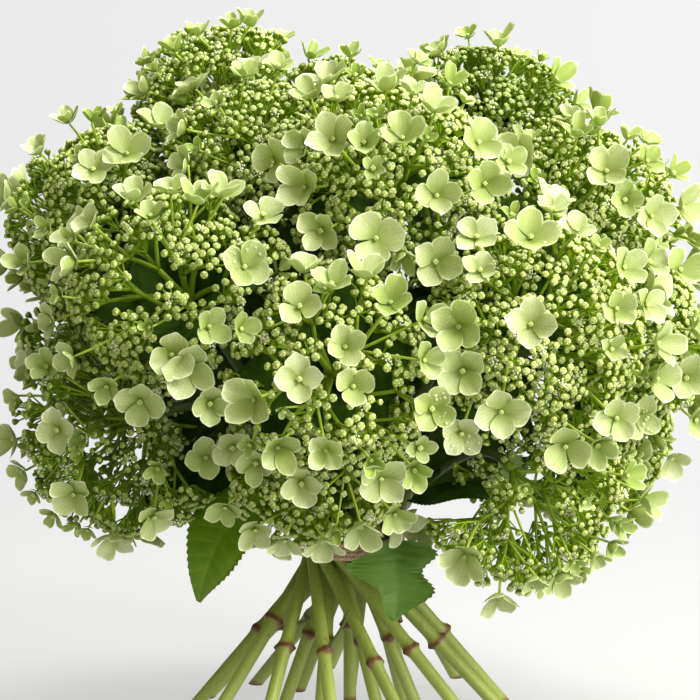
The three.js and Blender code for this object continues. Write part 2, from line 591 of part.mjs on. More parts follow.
const lines = new Map(HEADS.map((head) => [head.name, stemLine(head)]));
for (const head of HEADS) {
  addPart(`head_${head.name}`, headGeometry(head), buds);
  addPart(`stem_${head.name}`, stemGeometry(lines.get(head.name)), stemGreen);
}
for (const leaf of LEAVES) {
  addPart(`leaf_${leaf.name}`, leafGeometry(leaf, lines.get(leaf.stem)), leafGreen);
}
addPart("binding_twine", tieGeometry(), twine);

// The whole bunch is moved so that the origin is on the ground under its middle.
const extent = new THREE.Box3().setFromObject(bunch);
const middle = extent.getCenter(new THREE.Vector3());
for (const mesh of bunch.children) {
  mesh.geometry.translate(-middle.x, -middle.y, -extent.min.z);
}

export default bunch;
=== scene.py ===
import math

import bpy
import numpy as np
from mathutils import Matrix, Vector


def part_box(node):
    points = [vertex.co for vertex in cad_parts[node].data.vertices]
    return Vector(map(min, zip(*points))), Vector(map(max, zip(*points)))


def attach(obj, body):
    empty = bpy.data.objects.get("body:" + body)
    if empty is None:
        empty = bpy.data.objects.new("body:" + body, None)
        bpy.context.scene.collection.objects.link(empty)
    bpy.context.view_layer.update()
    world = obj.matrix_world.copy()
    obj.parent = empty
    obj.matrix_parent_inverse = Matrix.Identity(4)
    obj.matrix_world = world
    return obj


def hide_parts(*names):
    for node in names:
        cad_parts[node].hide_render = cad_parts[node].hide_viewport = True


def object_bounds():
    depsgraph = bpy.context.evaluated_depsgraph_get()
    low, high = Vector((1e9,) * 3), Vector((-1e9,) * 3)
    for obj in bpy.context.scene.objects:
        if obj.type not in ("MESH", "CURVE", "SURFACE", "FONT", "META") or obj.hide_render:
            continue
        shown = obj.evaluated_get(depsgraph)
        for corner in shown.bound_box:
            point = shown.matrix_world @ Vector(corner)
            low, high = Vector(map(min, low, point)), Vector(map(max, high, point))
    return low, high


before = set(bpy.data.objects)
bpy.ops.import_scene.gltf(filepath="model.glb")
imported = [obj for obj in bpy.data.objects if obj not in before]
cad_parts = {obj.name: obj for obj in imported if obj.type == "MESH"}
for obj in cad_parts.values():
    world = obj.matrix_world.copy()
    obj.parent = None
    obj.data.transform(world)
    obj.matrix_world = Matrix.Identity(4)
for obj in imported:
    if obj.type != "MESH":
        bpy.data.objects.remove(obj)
cad_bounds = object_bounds()

# Lengths are in millimetres from the middle of the neck on the ground, as in the part's source, until a mesh
# is made. Angles in the tables are in degrees.
MM = 0.001
low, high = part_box("binding_twine")
NECK_MIDDLE = np.array([(low.x + high.x) / 2, (low.y + high.y) / 2, 0.0]) / MM

# ---- The part's own dimensions ----
NECK_HEIGHT = 79.0
STEM_RADIUS = 2.9
STEM_TOP_RADIUS = 2.2
STRAIGHT_ABOVE_NECK = 7.0
STEM_BOW = 0.42
NODE_SWELLING = 1.1
NODE_HALF_LENGTH = 2.6
OUTER_RING = {"radius": 17.8, "lean": 42.5, "slots": 13, "first": -110}
INNER_RING = {"radius": 8.0, "lean": 22, "slots": 7, "first": -63}
TWIST = 78
BUD_DOME_HEIGHT = 0.96
HEAD_MIDDLE = 0.42
CROWN_DEPTH = 8.0
COLLAR_DROP = 3.5
FLORETS_ROUND = 6
FLORETS_ON_TOP = 2
FLORET_RADIUS = (7.5, 10.5)
FLORET_LIFT = 5.0
FLORET_ROOM = 6.0
FLAT_CUP = 0.85
CUP_LOSS = 0.048
TIE = {"inner": 22.5, "thickness": 2.4, "turns": 4, "pitch": 2.6}

HEADS = [
    ("low_left", (-92, -34, 138), (-152, -20), 51, OUTER_RING, 11, STEM_BOW),
    ("low_front", (-14, -58, 131), (-97, -25), 46, OUTER_RING, 0, STEM_BOW),
    ("low_right", (75, -48, 114), (-9, -50), 50, OUTER_RING, 3, 0.25),
    ("low_back_right", (108, 32, 128), (19, -18), 46, OUTER_RING, 5, STEM_BOW),
    ("low_back_left", (-62, 62, 132), (135, -20), 46, OUTER_RING, 9, STEM_BOW),
    ("mid_front_left", (-71, -64, 198), (-118, 35), 51, OUTER_RING, 12, STEM_BOW),
    ("mid_front", (-8, -86, 166), (-92, 12), 50, OUTER_RING, 1, STEM_BOW),
    ("mid_front_right", (75, -68, 182), (-66, 18), 53, OUTER_RING, 2, 0.57),
    ("mid_right", (118, -10, 174), (-6, 4), 47, OUTER_RING, 4, STEM_BOW),
    ("mid_left", (-100, 22, 172), (170, 6), 46, OUTER_RING, 10, STEM_BOW),
    ("mid_back_right", (74, 74, 188), (48, 21), 50, OUTER_RING, 6, STEM_BOW),
    ("mid_back_left", (-70, 80, 192), (128, 20), 50, OUTER_RING, 8, STEM_BOW),
    ("mid_back", (2, 94, 162), (90, 2), 48, OUTER_RING, 7, STEM_BOW),
    ("high_front", (17, -35, 238), (-83, 51), 55, INNER_RING, 0, STEM_BOW),
    ("high_front_left", (-42, -14, 249), (-127, 58), 44, INNER_RING, 6, STEM_BOW),
    ("high_left", (-106, -2, 222), (-175, 37), 50, INNER_RING, 5, STEM_BOW),
    ("high_right", (100, 6, 224), (-8, 41), 51, INNER_RING, 1, STEM_BOW),
    ("high_back", (3, 80, 224), (90, 42), 49, INNER_RING, 3, STEM_BOW),
    ("top_left", (-58, 36, 272), (155, 62), 46, INNER_RING, 4, STEM_BOW),
    ("top_middle", (-2, 26, 258), (90, 88), 44, None, 0, STEM_BOW),
    ("top_right", (63, 38, 262), (30, 64), 47, INNER_RING, 2, STEM_BOW),
]

# Florets on the sides that the photo shows: turn, tilt, radius, then the way each faces (turn and tilt).
FLORETS = {
    "low_left": [
        [38, 32, 9.3, 21, 38], [78, 46, 6.4, 38, 57], [127, 36, 6.1, 359, 13], [147, 21, 7.8, 63, 20],
        [187, 15, 6.5, 359, 13], [224, 16, 4.8, 327, 26], [264, 20, 5.6, 309, 34],
        [302, 32, 4.7, 312, 45], [305, 42, 8.6, 310, 57], [328, 58, 8.9, 327, 77],
        [342, 26, 8.9, 355, 44],
    ],
    "low_front": [
        [90, 14, 8.2, 57, 12], [135, 29, 6.6, 85, 14], [145, 42, 8.3, 45, 22], [169, 56, 7.6, 66, 33],
        [192, 40, 7.2, 228, 8], [211, 27, 7.1, 331, 13], [239, 18, 7.5, 279, 28],
        [294, 18, 8.4, 279, 28], [327, 16, 2.9, 292, 15], [337, 26, 7.5, 309, 18],
        [344, 42, 7.6, 356, 24],
    ],
    "low_right": [
        [111, 42, 6.4, 131, 55], [125, 58, 5.9, 135, 71], [141, 42, 5, 143, 40], [150, 36, 5.1, 169, 38],
        [164, 38, 5, 183, 36], [177, 43, 4.6, 181, 48], [188, 41, 7.6, 202, 41], [198, 49, 5.5, 216, 48],
        [214, 76, 9.7, 199, 74], [224, 52, 8.5, 220, 46], [292, 94, 8, 201, 80],
    ],
    "low_back_right": [[182, 52, 8.1, 213, 78]],
    "low_back_left": [[328, 96, 10.6, 344, 113]],
    "mid_front_left": [
        [26, 10, 5.7, 46, 25], [28, 56, 8.3, 51, 30], [34, 29, 6.6, 56, 35], [39, 40, 8.2, 62, 38],
        [58, 22, 7.4, 68, 34], [82, 44, 7.1, 221, 35], [95, 12, 7, 71, 26], [174, 18, 7.4, 177, 19],
        [186, 29, 4.2, 227, 17], [208, 66, 7.2, 227, 47], [211, 26, 7.4, 222, 42],
        [218, 42, 4.6, 221, 35], [236, 63, 7.1, 257, 52], [258, 68, 6.6, 286, 61],
        [272, 75, 10.3, 302, 59], [298, 55, 9.3, 308, 55], [301, 63, 10.2, 314, 58],
        [320, 53, 6.9, 343, 58], [355, 50, 10.2, 349, 45],
    ],
    "mid_front": [
        [3, 40, 7.3, 353, 39], [26, 46, 7.3, 11, 43], [36, 9, 7.6, 36, 10], [44, 36, 7.3, 73, 25],
        [66, 40, 7.7, 89, 58], [87, 31, 7.3, 84, 43], [104, 40, 7.3, 89, 61], [116, 24, 8.8, 83, 15],
        [158, 40, 6.1, 2, 39], [196, 61, 7.4, 298, 23], [207, 32, 9.6, 205, 28], [215, 12, 9.6, 353, 2],
        [228, 24, 3.2, 265, 59], [239, 40, 7.2, 298, 30], [270, 35, 6.8, 277, 18],
        [296, 58, 10.2, 285, 31], [311, 68, 5.8, 295, 33], [318, 14, 7.6, 331, 12],
        [319, 57, 5.7, 329, 23], [338, 50, 8.9, 337, 15],
    ],
    "mid_front_right": [
        [34, 24, 7.4, 13, 8], [66, 24, 4.5, 90, 24], [83, 29, 7.8, 100, 42], [92, 42, 7.4, 96, 47],
        [120, 32, 10.6, 135, 28], [136, 50, 9.4, 124, 32], [150, 65, 9.9, 224, 17],
        [155, 42, 6.9, 146, 31], [184, 50, 10.1, 195, 37], [197, 24, 9.7, 192, 24],
        [204, 55, 9.3, 209, 38], [227, 78, 8.7, 237, 35], [230, 54, 10.6, 233, 36],
        [268, 60, 9.5, 241, 44], [286, 64, 6.7, 255, 44], [293, 51, 9.5, 238, 24],
        [295, 20, 5.3, 227, 9], [312, 68, 8.9, 278, 21], [329, 60, 7.6, 305, 23],
        [337, 40, 7.5, 337, 32], [345, 12, 6.9, 236, 11], [358, 29, 8.3, 342, 22],
    ],
    "mid_right": [
        [134, 48, 7.8, 163, 59], [135, 64, 7.8, 154, 49], [173, 42, 6.5, 169, 39],
        [202, 48, 8.6, 175, 78], [252, 44, 7.5, 191, 55],
    ],
    "mid_left": [[4, 15, 6.8, 353, 52], [318, 24, 6.4, 359, 47]],
    "high_front": [
        [2, 64, 9.5, 223, 49], [26, 22, 5.5, 3, 13], [72, 34, 6, 20, 21], [161, 36, 6.4, 169, 22],
        [173, 6, 7.1, 89, 17], [176, 24, 6.7, 103, 14], [190, 56, 9.3, 213, 61], [200, 42, 7.5, 209, 52],
        [212, 32, 8.7, 229, 33], [216, 52, 8.3, 223, 55], [232, 63, 8.7, 238, 62],
        [234, 27, 6.2, 255, 25], [247, 35, 4.5, 268, 34], [256, 60, 11.2, 259, 40],
        [266, 22, 9.1, 244, 13], [268, 64, 5.4, 271, 98], [285, 44, 8.3, 273, 39],
        [315, 47, 7.9, 277, 42], [323, 15, 7.5, 47, 12], [329, 34, 9.2, 296, 33],
        [339, 49, 7.2, 309, 39], [352, 4, 6.7, 67, 15],
    ],
    "high_front_left": [
        [14, 13, 6, 23, 25], [46, 28, 6.5, 19, 19], [226, 36, 8.7, 36, 27], [266, 31, 6, 241, 43],
        [301, 20, 5.1, 281, 30],
    ],
    "high_left": [
        [18, 28, 6.1, 46, 26], [20, 58, 9, 24, 71], [36, 66, 9.9, 29, 68], [54, 43, 3.9, 65, 54],
        [56, 32, 6.1, 64, 30], [68, 51, 4.4, 71, 36], [320, 59, 6, 356, 56], [332, 30, 7.4, 339, 32],
        [342, 58, 5.1, 352, 41],
    ],
    "high_right": [
        [113, 44, 5.7, 209, 28], [130, 50, 5.2, 119, 61], [141, 40, 5.7, 117, 46],
        [145, 52, 5.6, 130, 52], [158, 32, 5.2, 124, 32], [167, 23, 6.1, 141, 26],
        [171, 52, 9.1, 168, 67], [181, 32, 6.5, 180, 48], [188, 54, 6.9, 185, 76],
        [205, 50, 8.7, 200, 61], [208, 24, 5.7, 194, 31], [227, 35, 8.3, 213, 45],
    ],
    "top_left": [
        [13, 46, 5.3, 31, 29], [33, 42, 5.4, 62, 40], [58, 46, 5.4, 68, 44], [72, 48, 5.4, 68, 44],
        [132, 53, 5.6, 77, 54], [243, 51, 5.7, 15, 68], [348, 60, 5.8, 350, 53], [357, 52, 4, 358, 32],
    ],
    "top_middle": [
        [6, 20, 5.4, 0, 24], [8, 40, 4, 0, 49], [33, 32, 4.5, 25, 28], [280, 20, 5.4, 53, 39],
    ],
    "top_right": [
        [94, 35, 5.9, 101, 52], [96, 53, 6.3, 82, 65], [130, 38, 5.8, 117, 40], [150, 42, 4.9, 145, 33],
        [178, 47, 6.3, 182, 51],
    ],
}

LEAVES = [
    ("left_hanging", "mid_front_left", 0.42, (-42, -28, 110), (-67, -35, 59), (-0.6, -0.7, 0), 36),
    ("right_hanging", "mid_front", 0.05, (21, -33, 86), (20, -42, 52), (0.1, -1, 0.3), 34),
    ("inner_left", "low_left", 0.5, (-48, -14, 117), (-96, -2, 96), (-0.2, -0.6, 0.8), 38),
    ("inner_right", "low_right", 0.5, (27, -35, 105), (59, -69, 111), (0.5, -0.8, 0.6), 34),
    ("upper_right", "high_right", 0.8, (68, -10, 208), (88, -45, 236), (0.4, -0.1, 0.5), 34),
    ("upper_left", "high_left", 0.8, (-66, -19, 203), (-95, -42, 229), (-0.8, -0.2, 0.7), 32),
    ("back_left", "low_back_left", 0.5, (-20, 47, 104), (-26, 81, 75), (0.4, 1, 0.3), 42),
    ("back_right", "low_back_right", 0.5, (54.2, 45.1, 110.2), (78.6, 84.5, 81.3), (0.2, 0.88, 0.53), 42),
]

# ---- The finer model's own dimensions ----
# By head: clusters of buds outside and inside, the buds' radius, how olive it is (its own tone, and painted
# shade on the heads that sit in shade) and its leaves underneath, painted dark as painted shade.
HABIT = {
    "mid_front_left": (60, 8, (1.6, 1.85), 0.45, 6),
    "mid_front": (50, 6, (1.6, 1.9), 0.2, 6),
    "mid_front_right": (84, 40, (1.45, 1.75), 0.0, 2),
    "high_front": (80, 40, (1.5, 1.8), 0.1, 2),
    "high_front_left": (80, 30, (1.35, 1.6), 0.4, 3),
    "high_left": (84, 34, (1.35, 1.6), 0.6, 3),
    "high_right": (84, 40, (1.35, 1.6), 0.1, 3),
    "top_right": (112, 50, (1.15, 1.4), 1.0, 3),
    "top_left": (92, 44, (1.3, 1.55), 0.35, 3),
    "top_middle": (90, 40, (1.3, 1.55), 0.35, 3),
    "low_left": (100, 44, (1.25, 1.55), 1.0, 0),
    "low_right": (86, 26, (1.3, 1.6), 0.0, 0),
    "low_front": (60, 14, (1.5, 1.8), 0.3, 3),
}
USUAL_HABIT = (74, 24, (1.45, 1.7), 0.35, 3)
SEEN_THROUGH = ("low_left", "low_right")  # open in front and behind, with few and thin rays
LOOSE_TO_THE_LEFT = ("low_left", "mid_left")  # their buds reach out among the florets there
YOUNG = ("top_left", "top_middle", "top_right")  # their florets are small yet
# How many florets that opened late crowd one side of a head, and which side.
RUFFLES = {
    "top_left": (22, (-0.2, 0.0, 1.0)),
    "top_middle": (12, (0.0, 0.0, 1.0)),
    "top_right": (9, (0.5, 0.0, 0.8)),
    "high_right": (22, (0.8, -0.1, 0.8)),
    "high_left": (10, (-0.6, 0.0, 0.8)),
    "mid_right": (14, (1.0, -0.3, 0.0)),
    "low_right": (20, (1.0, -0.1, -0.4)),
    "low_left": (18, (-0.9, -0.3, -0.2)),
    "mid_left": (20, (-1.0, -0.3, -0.1)),
    "high_front": (8, (0.3, -0.2, 1.0)),
}
# Single clusters above the open right head's rays.
SPRAYS = [(69, -52, 130), (55, -52, 122), (62, -53, 117), (47, -50, 117), (78, -50, 133)]
BUDS_IN_CLUSTER = (7.5, 12)
CLUSTER_RADIUS = 7.0
PEDICEL_RADIUS = 0.42
BUD_ROOM = 2.0  # from a bud's middle to a neighbour's cell
GOLDEN_TURN = 2.4  # radians, from one bud of a cluster to the next
TUFT_SHARE = 0.45  # of clusters have a tuft of late buds
TUFT_BUDS = 12
MAIN_RAYS = 9
RAYS_SEEN_THROUGH = 6
OPEN_WITHIN = 0.74  # how squarely a cluster of an open head may face the front or the back
LATE_FLORET = {True: (2.8, 4.8), False: (5.5, 9.0)}  # radius, by whether the head's florets are in the table
SPARE = 0.013  # how far a petal may stand outside the CAD box, as a share of each side
PETAL_GRID = 9
PETAL_KINDS = 12
# Florets with water on them, by head and place in its table.
WET = {
    ("mid_front_left", 18), ("high_front", 20), ("mid_front_right", 17), ("mid_front_right", 11),
    ("mid_front", 19),
}
# Thin side shoots on two stems: how far above the scar, which way and how long.
SHOOTS = {"mid_back_left": (0.0, (0.5, -0.1, 0.86), 22), "mid_back": (12.0, (0.9, -0.1, 0.35), 9)}
# Dark leaves, painted shade, between the front heads and the low right one, each from base to tip.
INNER_BY_HAND = [((26, -14, 106), (54, -24, 148)), ((40, -10, 114), (66, -16, 132))]
INNER_LEAF = (40, 54)
SHORTEST_LEAF = 18
PLY_RADIUS = 0.62
PLIES = 3
TWISTS_PER_TURN = 30
ROOM_LIGHT = 0.55
CAMERA_DISTANCE = 1200.0
CAMERA_RISE = math.radians(6)
CAMERA_TARGET = np.array([0.0, 0.0, 167.0])
FRAME_WIDTH = 315.0  # at the target
SENSOR_WIDTH = 36.0


# ---- Small helpers ----
def unit(v):
    v = np.asarray(v, float)
    return v / np.linalg.norm(v, axis=-1, keepdims=True)


def mix(a, b, t):
    return a + (b - a) * t


def facing(turn, rise):
    turn, rise = math.radians(turn), math.radians(rise)
    return np.array([math.cos(rise) * math.cos(turn), math.cos(rise) * math.sin(turn), math.sin(rise)])


def sideways(axis):
    helper = np.array([1.0, 0, 0]) if abs(axis[2]) > 0.95 else np.array([0, 0, 1.0])
    u = unit(np.cross(helper, axis))
    return u, np.cross(axis, u)


def around(turn, u, v):
    """From u at no turn to v at a quarter turn."""
    return math.cos(turn) * u + math.sin(turn) * v


def angles(sides):
    return math.tau * np.arange(sides) / sides


def frames(axes):
    """For each unit row of axes, a 3 by 3 matrix whose columns are two sides and that axis."""
    axes = np.atleast_2d(axes)
    helper = np.where(np.abs(axes[:, 2:3]) > 0.95, [[1.0, 0, 0]], [[0, 0, 1.0]])
    u = unit(np.cross(helper, axes))
    return np.stack([u, np.cross(axes, u), axes], axis=2)


def turn_about(axis_frame, angle):
    """The frame turned about its own third axis."""
    c, s = math.cos(angle), math.sin(angle)
    return axis_frame @ np.array([[c, -s, 0], [s, c, 0], [0, 0, 1.0]])


def seeded(seed):
    """The same repeatable draw as the part's source."""
    state = seed & 0xFFFFFFFF

    def draw():
        nonlocal state
        state = (state * 1664525 + 1013904223) & 0xFFFFFFFF
        return state / 4294967296

    return draw


def bezier(points, share):
    share = np.asarray(share, float)[:, None]
    if len(points) == 3:
        a, b, c = points
        return a * (1 - share) ** 2 + 2 * b * share * (1 - share) + c * share**2
    a, b, c, d = points
    rest = 1 - share
    return a * rest**3 + 3 * b * share * rest**2 + 3 * c * share**2 * rest + d * share**3


# ---- Meshes ----
class Skin:
    """Gathers triangles, with numbers kept at the vertices, into one mesh."""

    def __init__(self):
        self.points, self.faces, self.numbers, self.count = [], [], {}, 0

    def add(self, points, faces, **numbers):
        """Points in any grid (..., 3). A number is one for all, or an array that broadcasts to their grid."""
        points = np.asarray(points, float)
        for name, value in numbers.items():
            self.numbers.setdefault(name, []).append(np.broadcast_to(value, points.shape[:-1]).ravel())
        points = points.reshape(-1, 3)
        self.points.append(points)
        self.faces.append(np.asarray(faces, int).reshape(-1, 3) + self.count)
        self.count += len(points)

    def piece(self, name, material, slot, nodes=()):
        points = (np.concatenate(self.points) + NECK_MIDDLE) * MM
        faces = np.concatenate(self.faces)
        numbers = {key: np.concatenate(values) for key, values in self.numbers.items()}
        fold = numbers.pop("fold", None)
        mesh = bpy.data.meshes.new(name)
        mesh.vertices.add(len(points))
        mesh.vertices.foreach_set("co", points.astype(np.float32).ravel())
        mesh.loops.add(faces.size)
        mesh.loops.foreach_set("vertex_index", faces.astype(np.int32).ravel())
        mesh.polygons.add(len(faces))
        mesh.polygons.foreach_set("loop_start", np.arange(0, faces.size, 3, dtype=np.int32))
        mesh.polygons.foreach_set("use_smooth", np.ones(len(faces), bool))
        for key, values in numbers.items():
            mesh.attributes.new(key, "FLOAT", "POINT").data.foreach_set("value", values.astype(np.float32))
        mesh.update(calc_edges=True)
        if fold is not None:
            # Where the two faces of a thin petal meet, each keeps its own shading.
            ends = np.empty(2 * len(mesh.edges), np.int32)
            mesh.edges.foreach_get("vertices", ends)
            sharp = fold[ends.reshape(-1, 2)].min(axis=1) > 0.5
            mesh.attributes.new("sharp_edge", "BOOLEAN", "EDGE").data.foreach_set("value", sharp)
        mesh.validate()
        mesh.materials.append(material)
        made = bpy.data.objects.new(name, mesh)
        bpy.context.scene.collection.objects.link(made)
        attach(made, "root")
        if nodes:
            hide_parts(*nodes)


def grid_faces(rows, columns, closed=False):
    """Triangles over rows of points; closed joins the last column to the first."""
    faces = []
    for r in range(rows - 1):
        for c in range(columns if closed else columns - 1):
            a, b = r * columns + c, r * columns + (c + 1) % columns
            faces += [(a, b, b + columns), (a, b + columns, a + columns)]
    return np.array(faces)


def repeated(faces, copies, points_each):
    return faces + points_each * np.arange(copies)[:, None, None]


def add_copies(skin, points, faces, places, turns, sizes, **numbers):
    """Copies of one shape: places (n, 3), turns (n, 3, 3), sizes (n,)."""
    sizes = np.broadcast_to(np.asarray(sizes, float), len(places))
    copies = places[:, None, :] + sizes[:, None, None] * np.einsum("nij,mj->nmi", turns, points)
    skin.add(copies, repeated(faces, *copies.shape[:2]), **numbers)


def add_rods(skin, starts, ends, start_radius, end_radius, sides, **numbers):
    """Straight tapered rods, each between two points. A number may be [[at the starts], [at the ends]]."""
    starts, ends = np.atleast_2d(starts), np.atleast_2d(ends)
    angle = angles(sides)
    ring = np.stack([np.cos(angle), np.sin(angle), np.zeros(sides)], axis=1)
    ring = np.einsum("nij,mj->nmi", frames(unit(ends - starts)), ring)
    rods = np.stack([starts[:, None] + ring * start_radius, ends[:, None] + ring * end_radius], axis=1)
    k = np.arange(sides)
    j = (k + 1) % sides
    faces = np.concatenate([np.stack([k, j, j + sides], 1), np.stack([k, j + sides, k + sides], 1)])
    skin.add(rods, repeated(faces, len(rods), 2 * sides), **numbers)


def along_path(value):
    """One value for each point of a path, made to broadcast round a tube. Any other value stays as it is."""
    return np.asarray(value, float)[:, None] if np.ndim(value) == 1 else value


def add_tube(skin, path, radii, sides, **numbers):
    """One smooth closed tube. A radius or a number is one for all, one per path point or (path, side)."""
    path = np.asarray(path, float)
    n = len(path)
    radii = np.broadcast_to(along_path(radii), (n, sides))
    angle = angles(sides)
    u = None
    rows = []
    for spot, way, radius in zip(path, unit(np.gradient(path, axis=0)), radii):
        u = sideways(way)[0] if u is None else u
        u = unit(u - way * (u @ way))
        v = np.cross(way, u)
        rows.append(spot + radius[:, None] * (np.cos(angle)[:, None] * u + np.sin(angle)[:, None] * v))
    first = [(0, k + 1, k) for k in range(1, sides - 1)]
    end = (n - 1) * sides
    last = [(end, end + k, end + k + 1) for k in range(1, sides - 1)]
    faces = np.concatenate([grid_faces(n, sides, closed=True), first, last])
    skin.add(rows, faces, **{name: along_path(value) for name, value in numbers.items()})


# ---- The heads' cells, as in the part's source ----
class Head:
    def __init__(self, index, row):
        self.index = index
        self.name, rim, faces, self.radius, self.ring, self.slot, self.bow = row
        self.centre = np.array(rim, float)
        self.axis = facing(*faces)
        self.u, self.v = sideways(self.axis)
        self.crown = self.centre - CROWN_DEPTH * self.axis
        self.middle = self.centre + HEAD_MIDDLE * self.radius * self.axis

    def room(self, point):
        return (self.levels - np.asarray(point) @ self.normals.T).min(axis=-1)

    def direction(self, turn, tilt):
        return around(tilt, self.axis, around(turn, self.u, self.v))

    def reach(self, direction):
        """From the crown to the buds' dome."""
        cosine = direction @ self.axis
        along = cosine / BUD_DOME_HEIGHT
        depth = CROWN_DEPTH / BUD_DOME_HEIGHT
        a = along**2 + 1 - cosine**2
        b = along * depth
        return (b + np.sqrt(b**2 - a * (depth**2 - self.radius**2))) / a

    def clear_reach(self, direction, room):
        """The dome's reach, shortened where a neighbour's cell comes first."""
        rate = direction @ self.normals.T
        gap = self.levels - self.crown @ self.normals.T - room
        with np.errstate(divide="ignore"):
            walls = np.where(rate > 1e-6, gap / np.maximum(rate, 1e-6), np.inf)
        return np.minimum(self.reach(direction), walls.min(axis=-1))

    def even_ways(self, count, lowest, draw):
        """Directions spread evenly about the axis, down to the cosine lowest, each moved a little."""
        golden = math.pi * (3 - math.sqrt(5))
        rows = []
        for k in range(count):
            z = mix(1.0, lowest, (k + 0.5) / count) + 0.03 * (draw() - 0.5)
            z = min(max(z, -0.2), 0.999)
            across = math.sqrt(1 - z * z)
            turn = golden * k + 0.35 * (draw() - 0.5) / max(0.3, across)
            rows.append((across * math.cos(turn), across * math.sin(turn), z))
        return np.array(rows) @ np.stack([self.u, self.v, self.axis], axis=1).T


heads = [Head(index, row) for index, row in enumerate(HEADS)]
for head in heads:
    others = [other for other in heads if other is not head]
    apart = np.array([other.middle - head.middle for other in others])
    distance = np.linalg.norm(apart, axis=1)
    head.normals = apart / distance[:, None]
    squares = np.array([head.radius**2 - other.radius**2 for other in others])
    head.levels = head.normals @ head.middle + distance / 2 + squares / (2 * distance)


def floret_at(head, turn, tilt, listed):
    """A floret's heart, outside the dome or, on a young head, among its buds. Returns its direction too."""
    usual, young = (FLORET_LIFT, 0.5) if listed else (1.5, -3.5)
    direction = head.direction(turn, tilt)
    lift = young if head.name in YOUNG else usual
    return head.crown + direction * (head.reach(direction) + lift), direction


def floret_places(head):
    """The table's florets, then those placed by rule on the sides that it leaves out."""
    draw = seeded(101 + 17 * head.index)
    listed = []
    for turn, tilt, radius, faces_turn, faces_tilt in FLORETS.get(head.name, []):
        centre, direction = floret_at(head, math.radians(turn), math.radians(tilt), True)
        looks = head.direction(math.radians(faces_turn), math.radians(faces_tilt))
        listed.append((centre, direction, looks, radius, math.tau * draw()))
    more = []
    phase = math.tau * draw()
    for k in range(FLORETS_ROUND + FLORETS_ON_TOP):
        at_rim = k < FLORETS_ROUND
        share = k / FLORETS_ROUND if at_rim else (k - FLORETS_ROUND) / FLORETS_ON_TOP
        turn = phase + math.tau * share + 0.5 * (draw() - 0.5)
        radius = mix(*FLORET_RADIUS, draw()) * (0.66 if head.name in YOUNG else 1.0)
        tilt = math.radians(mix(68, 80, draw()) if at_rim else mix(18, 42, draw()))
        while True:
            centre, direction = floret_at(head, turn, tilt, False)
            tilt -= math.radians(3)
            if not (head.room(centre) < FLORET_ROOM and tilt > math.radians(20)):
                break
        looks = unit(direction + head.axis * (0.35 + 0.4 * draw()))
        spin = math.tau * draw()
        apart = all(np.linalg.norm(other[0] - centre) > 0.9 * (other[3] + radius) for other in listed)
        in_table = listed and direction[1] < -0.1
        if head.room(centre) > 0.6 * FLORET_ROOM and apart and not in_table:
            more.append((centre, direction, looks, radius, spin))
    return listed + more


# ---- Materials ----
BLACK, WHITE = (0.0, 0.0, 0.0, 1.0), (1.0, 1.0, 1.0, 1.0)


def shade(colour):
    """A screen colour, 0 to 255, as the shader's linear four. Four numbers stay as they are."""
    if len(colour) == 4:
        return colour
    return tuple(((c / 255 + 0.055) / 1.055) ** 2.4 if c > 10 else c / 255 / 12.92 for c in colour) + (1.0,)


class Look:
    """A node tree under way. Each method adds a node and gives back its output."""

    def __init__(self, tree):
        self.nodes, self.links = tree.nodes, tree.links

    def add(self, kind, output=None, inputs=(), **settings):
        """Inputs by name or number: an output of another node is linked, and anything else is set."""
        node = self.nodes.new(f"ShaderNode{kind}")
        for key, value in settings.items():
            setattr(node, key, value)
        for key, value in dict(inputs).items():
            if isinstance(value, bpy.types.NodeSocket):
                self.links.new(value, node.inputs[key])
            else:
                node.inputs[key].default_value = value
        return node.outputs[output] if output else node

    def number(self, name):
        """A number that the mesh keeps at its vertices."""
        return self.add("Attribute", "Fac", attribute_name=name)

    def place(self):
        return self.add("TexCoord", "Object")

    def maths(self, operation, *values):
        return self.add("Math", "Value", enumerate(values), operation=operation)

    def times(self, a, b):
        return self.maths("MULTIPLY", a, b)

    def ramp(self, source, *stops):
        node = self.add("ValToRGB", None, {"Fac": source})
        elements = node.color_ramp.elements
        while len(elements) < len(stops):
            elements.new(0.5)
        for element, (place, colour) in zip(elements, stops):
            element.position = place
            element.color = shade(colour)
        return node.outputs["Color"]

    def blend(self, share, a, b):
        """From the colour a to the colour b, which may be a screen colour."""
        b = shade(b) if isinstance(b, tuple) else b
        return self.add("Mix", "Result", {"Factor": share, "A": a, "B": b}, data_type="RGBA")

    def noise(self, scale, detail=3.0, vector=None):
        vector = self.place() if vector is None else vector
        return self.add("TexNoise", "Fac", {"Scale": scale, "Detail": detail, "Vector": vector})

    def bump(self, height, strength, distance):
        return self.add("Bump", "Normal", {"Strength": strength, "Distance": distance, "Height": height})

    def mix_shaders(self, share, a, b):
        return self.add("MixShader", "Shader", {"Fac": share, 1: a, 2: b})

    def finish(self, colour, roughness, normal=None, through=0.0, coat=0.0, shine=0.4):
        """A glossy surface, with some light let through a thin blade."""
        inputs = {"Base Color": colour, "Roughness": roughness, "Specular IOR Level": shine}
        inputs |= {"Coat Weight": coat, "Coat Roughness": 0.3}
        if normal is not None:
            inputs["Normal"] = normal
        surface = self.add("BsdfPrincipled", "BSDF", inputs)
        if through:
            behind = self.add("BsdfTranslucent", "BSDF", {"Color": colour})
            surface = self.mix_shaders(through, surface, behind)
        self.add("OutputMaterial", None, {"Surface": surface})


def painted(name, paint):
    made = bpy.data.materials.new(name)
    made.use_nodes = True
    made.node_tree.nodes.clear()
    paint(Look(made.node_tree))
    return made


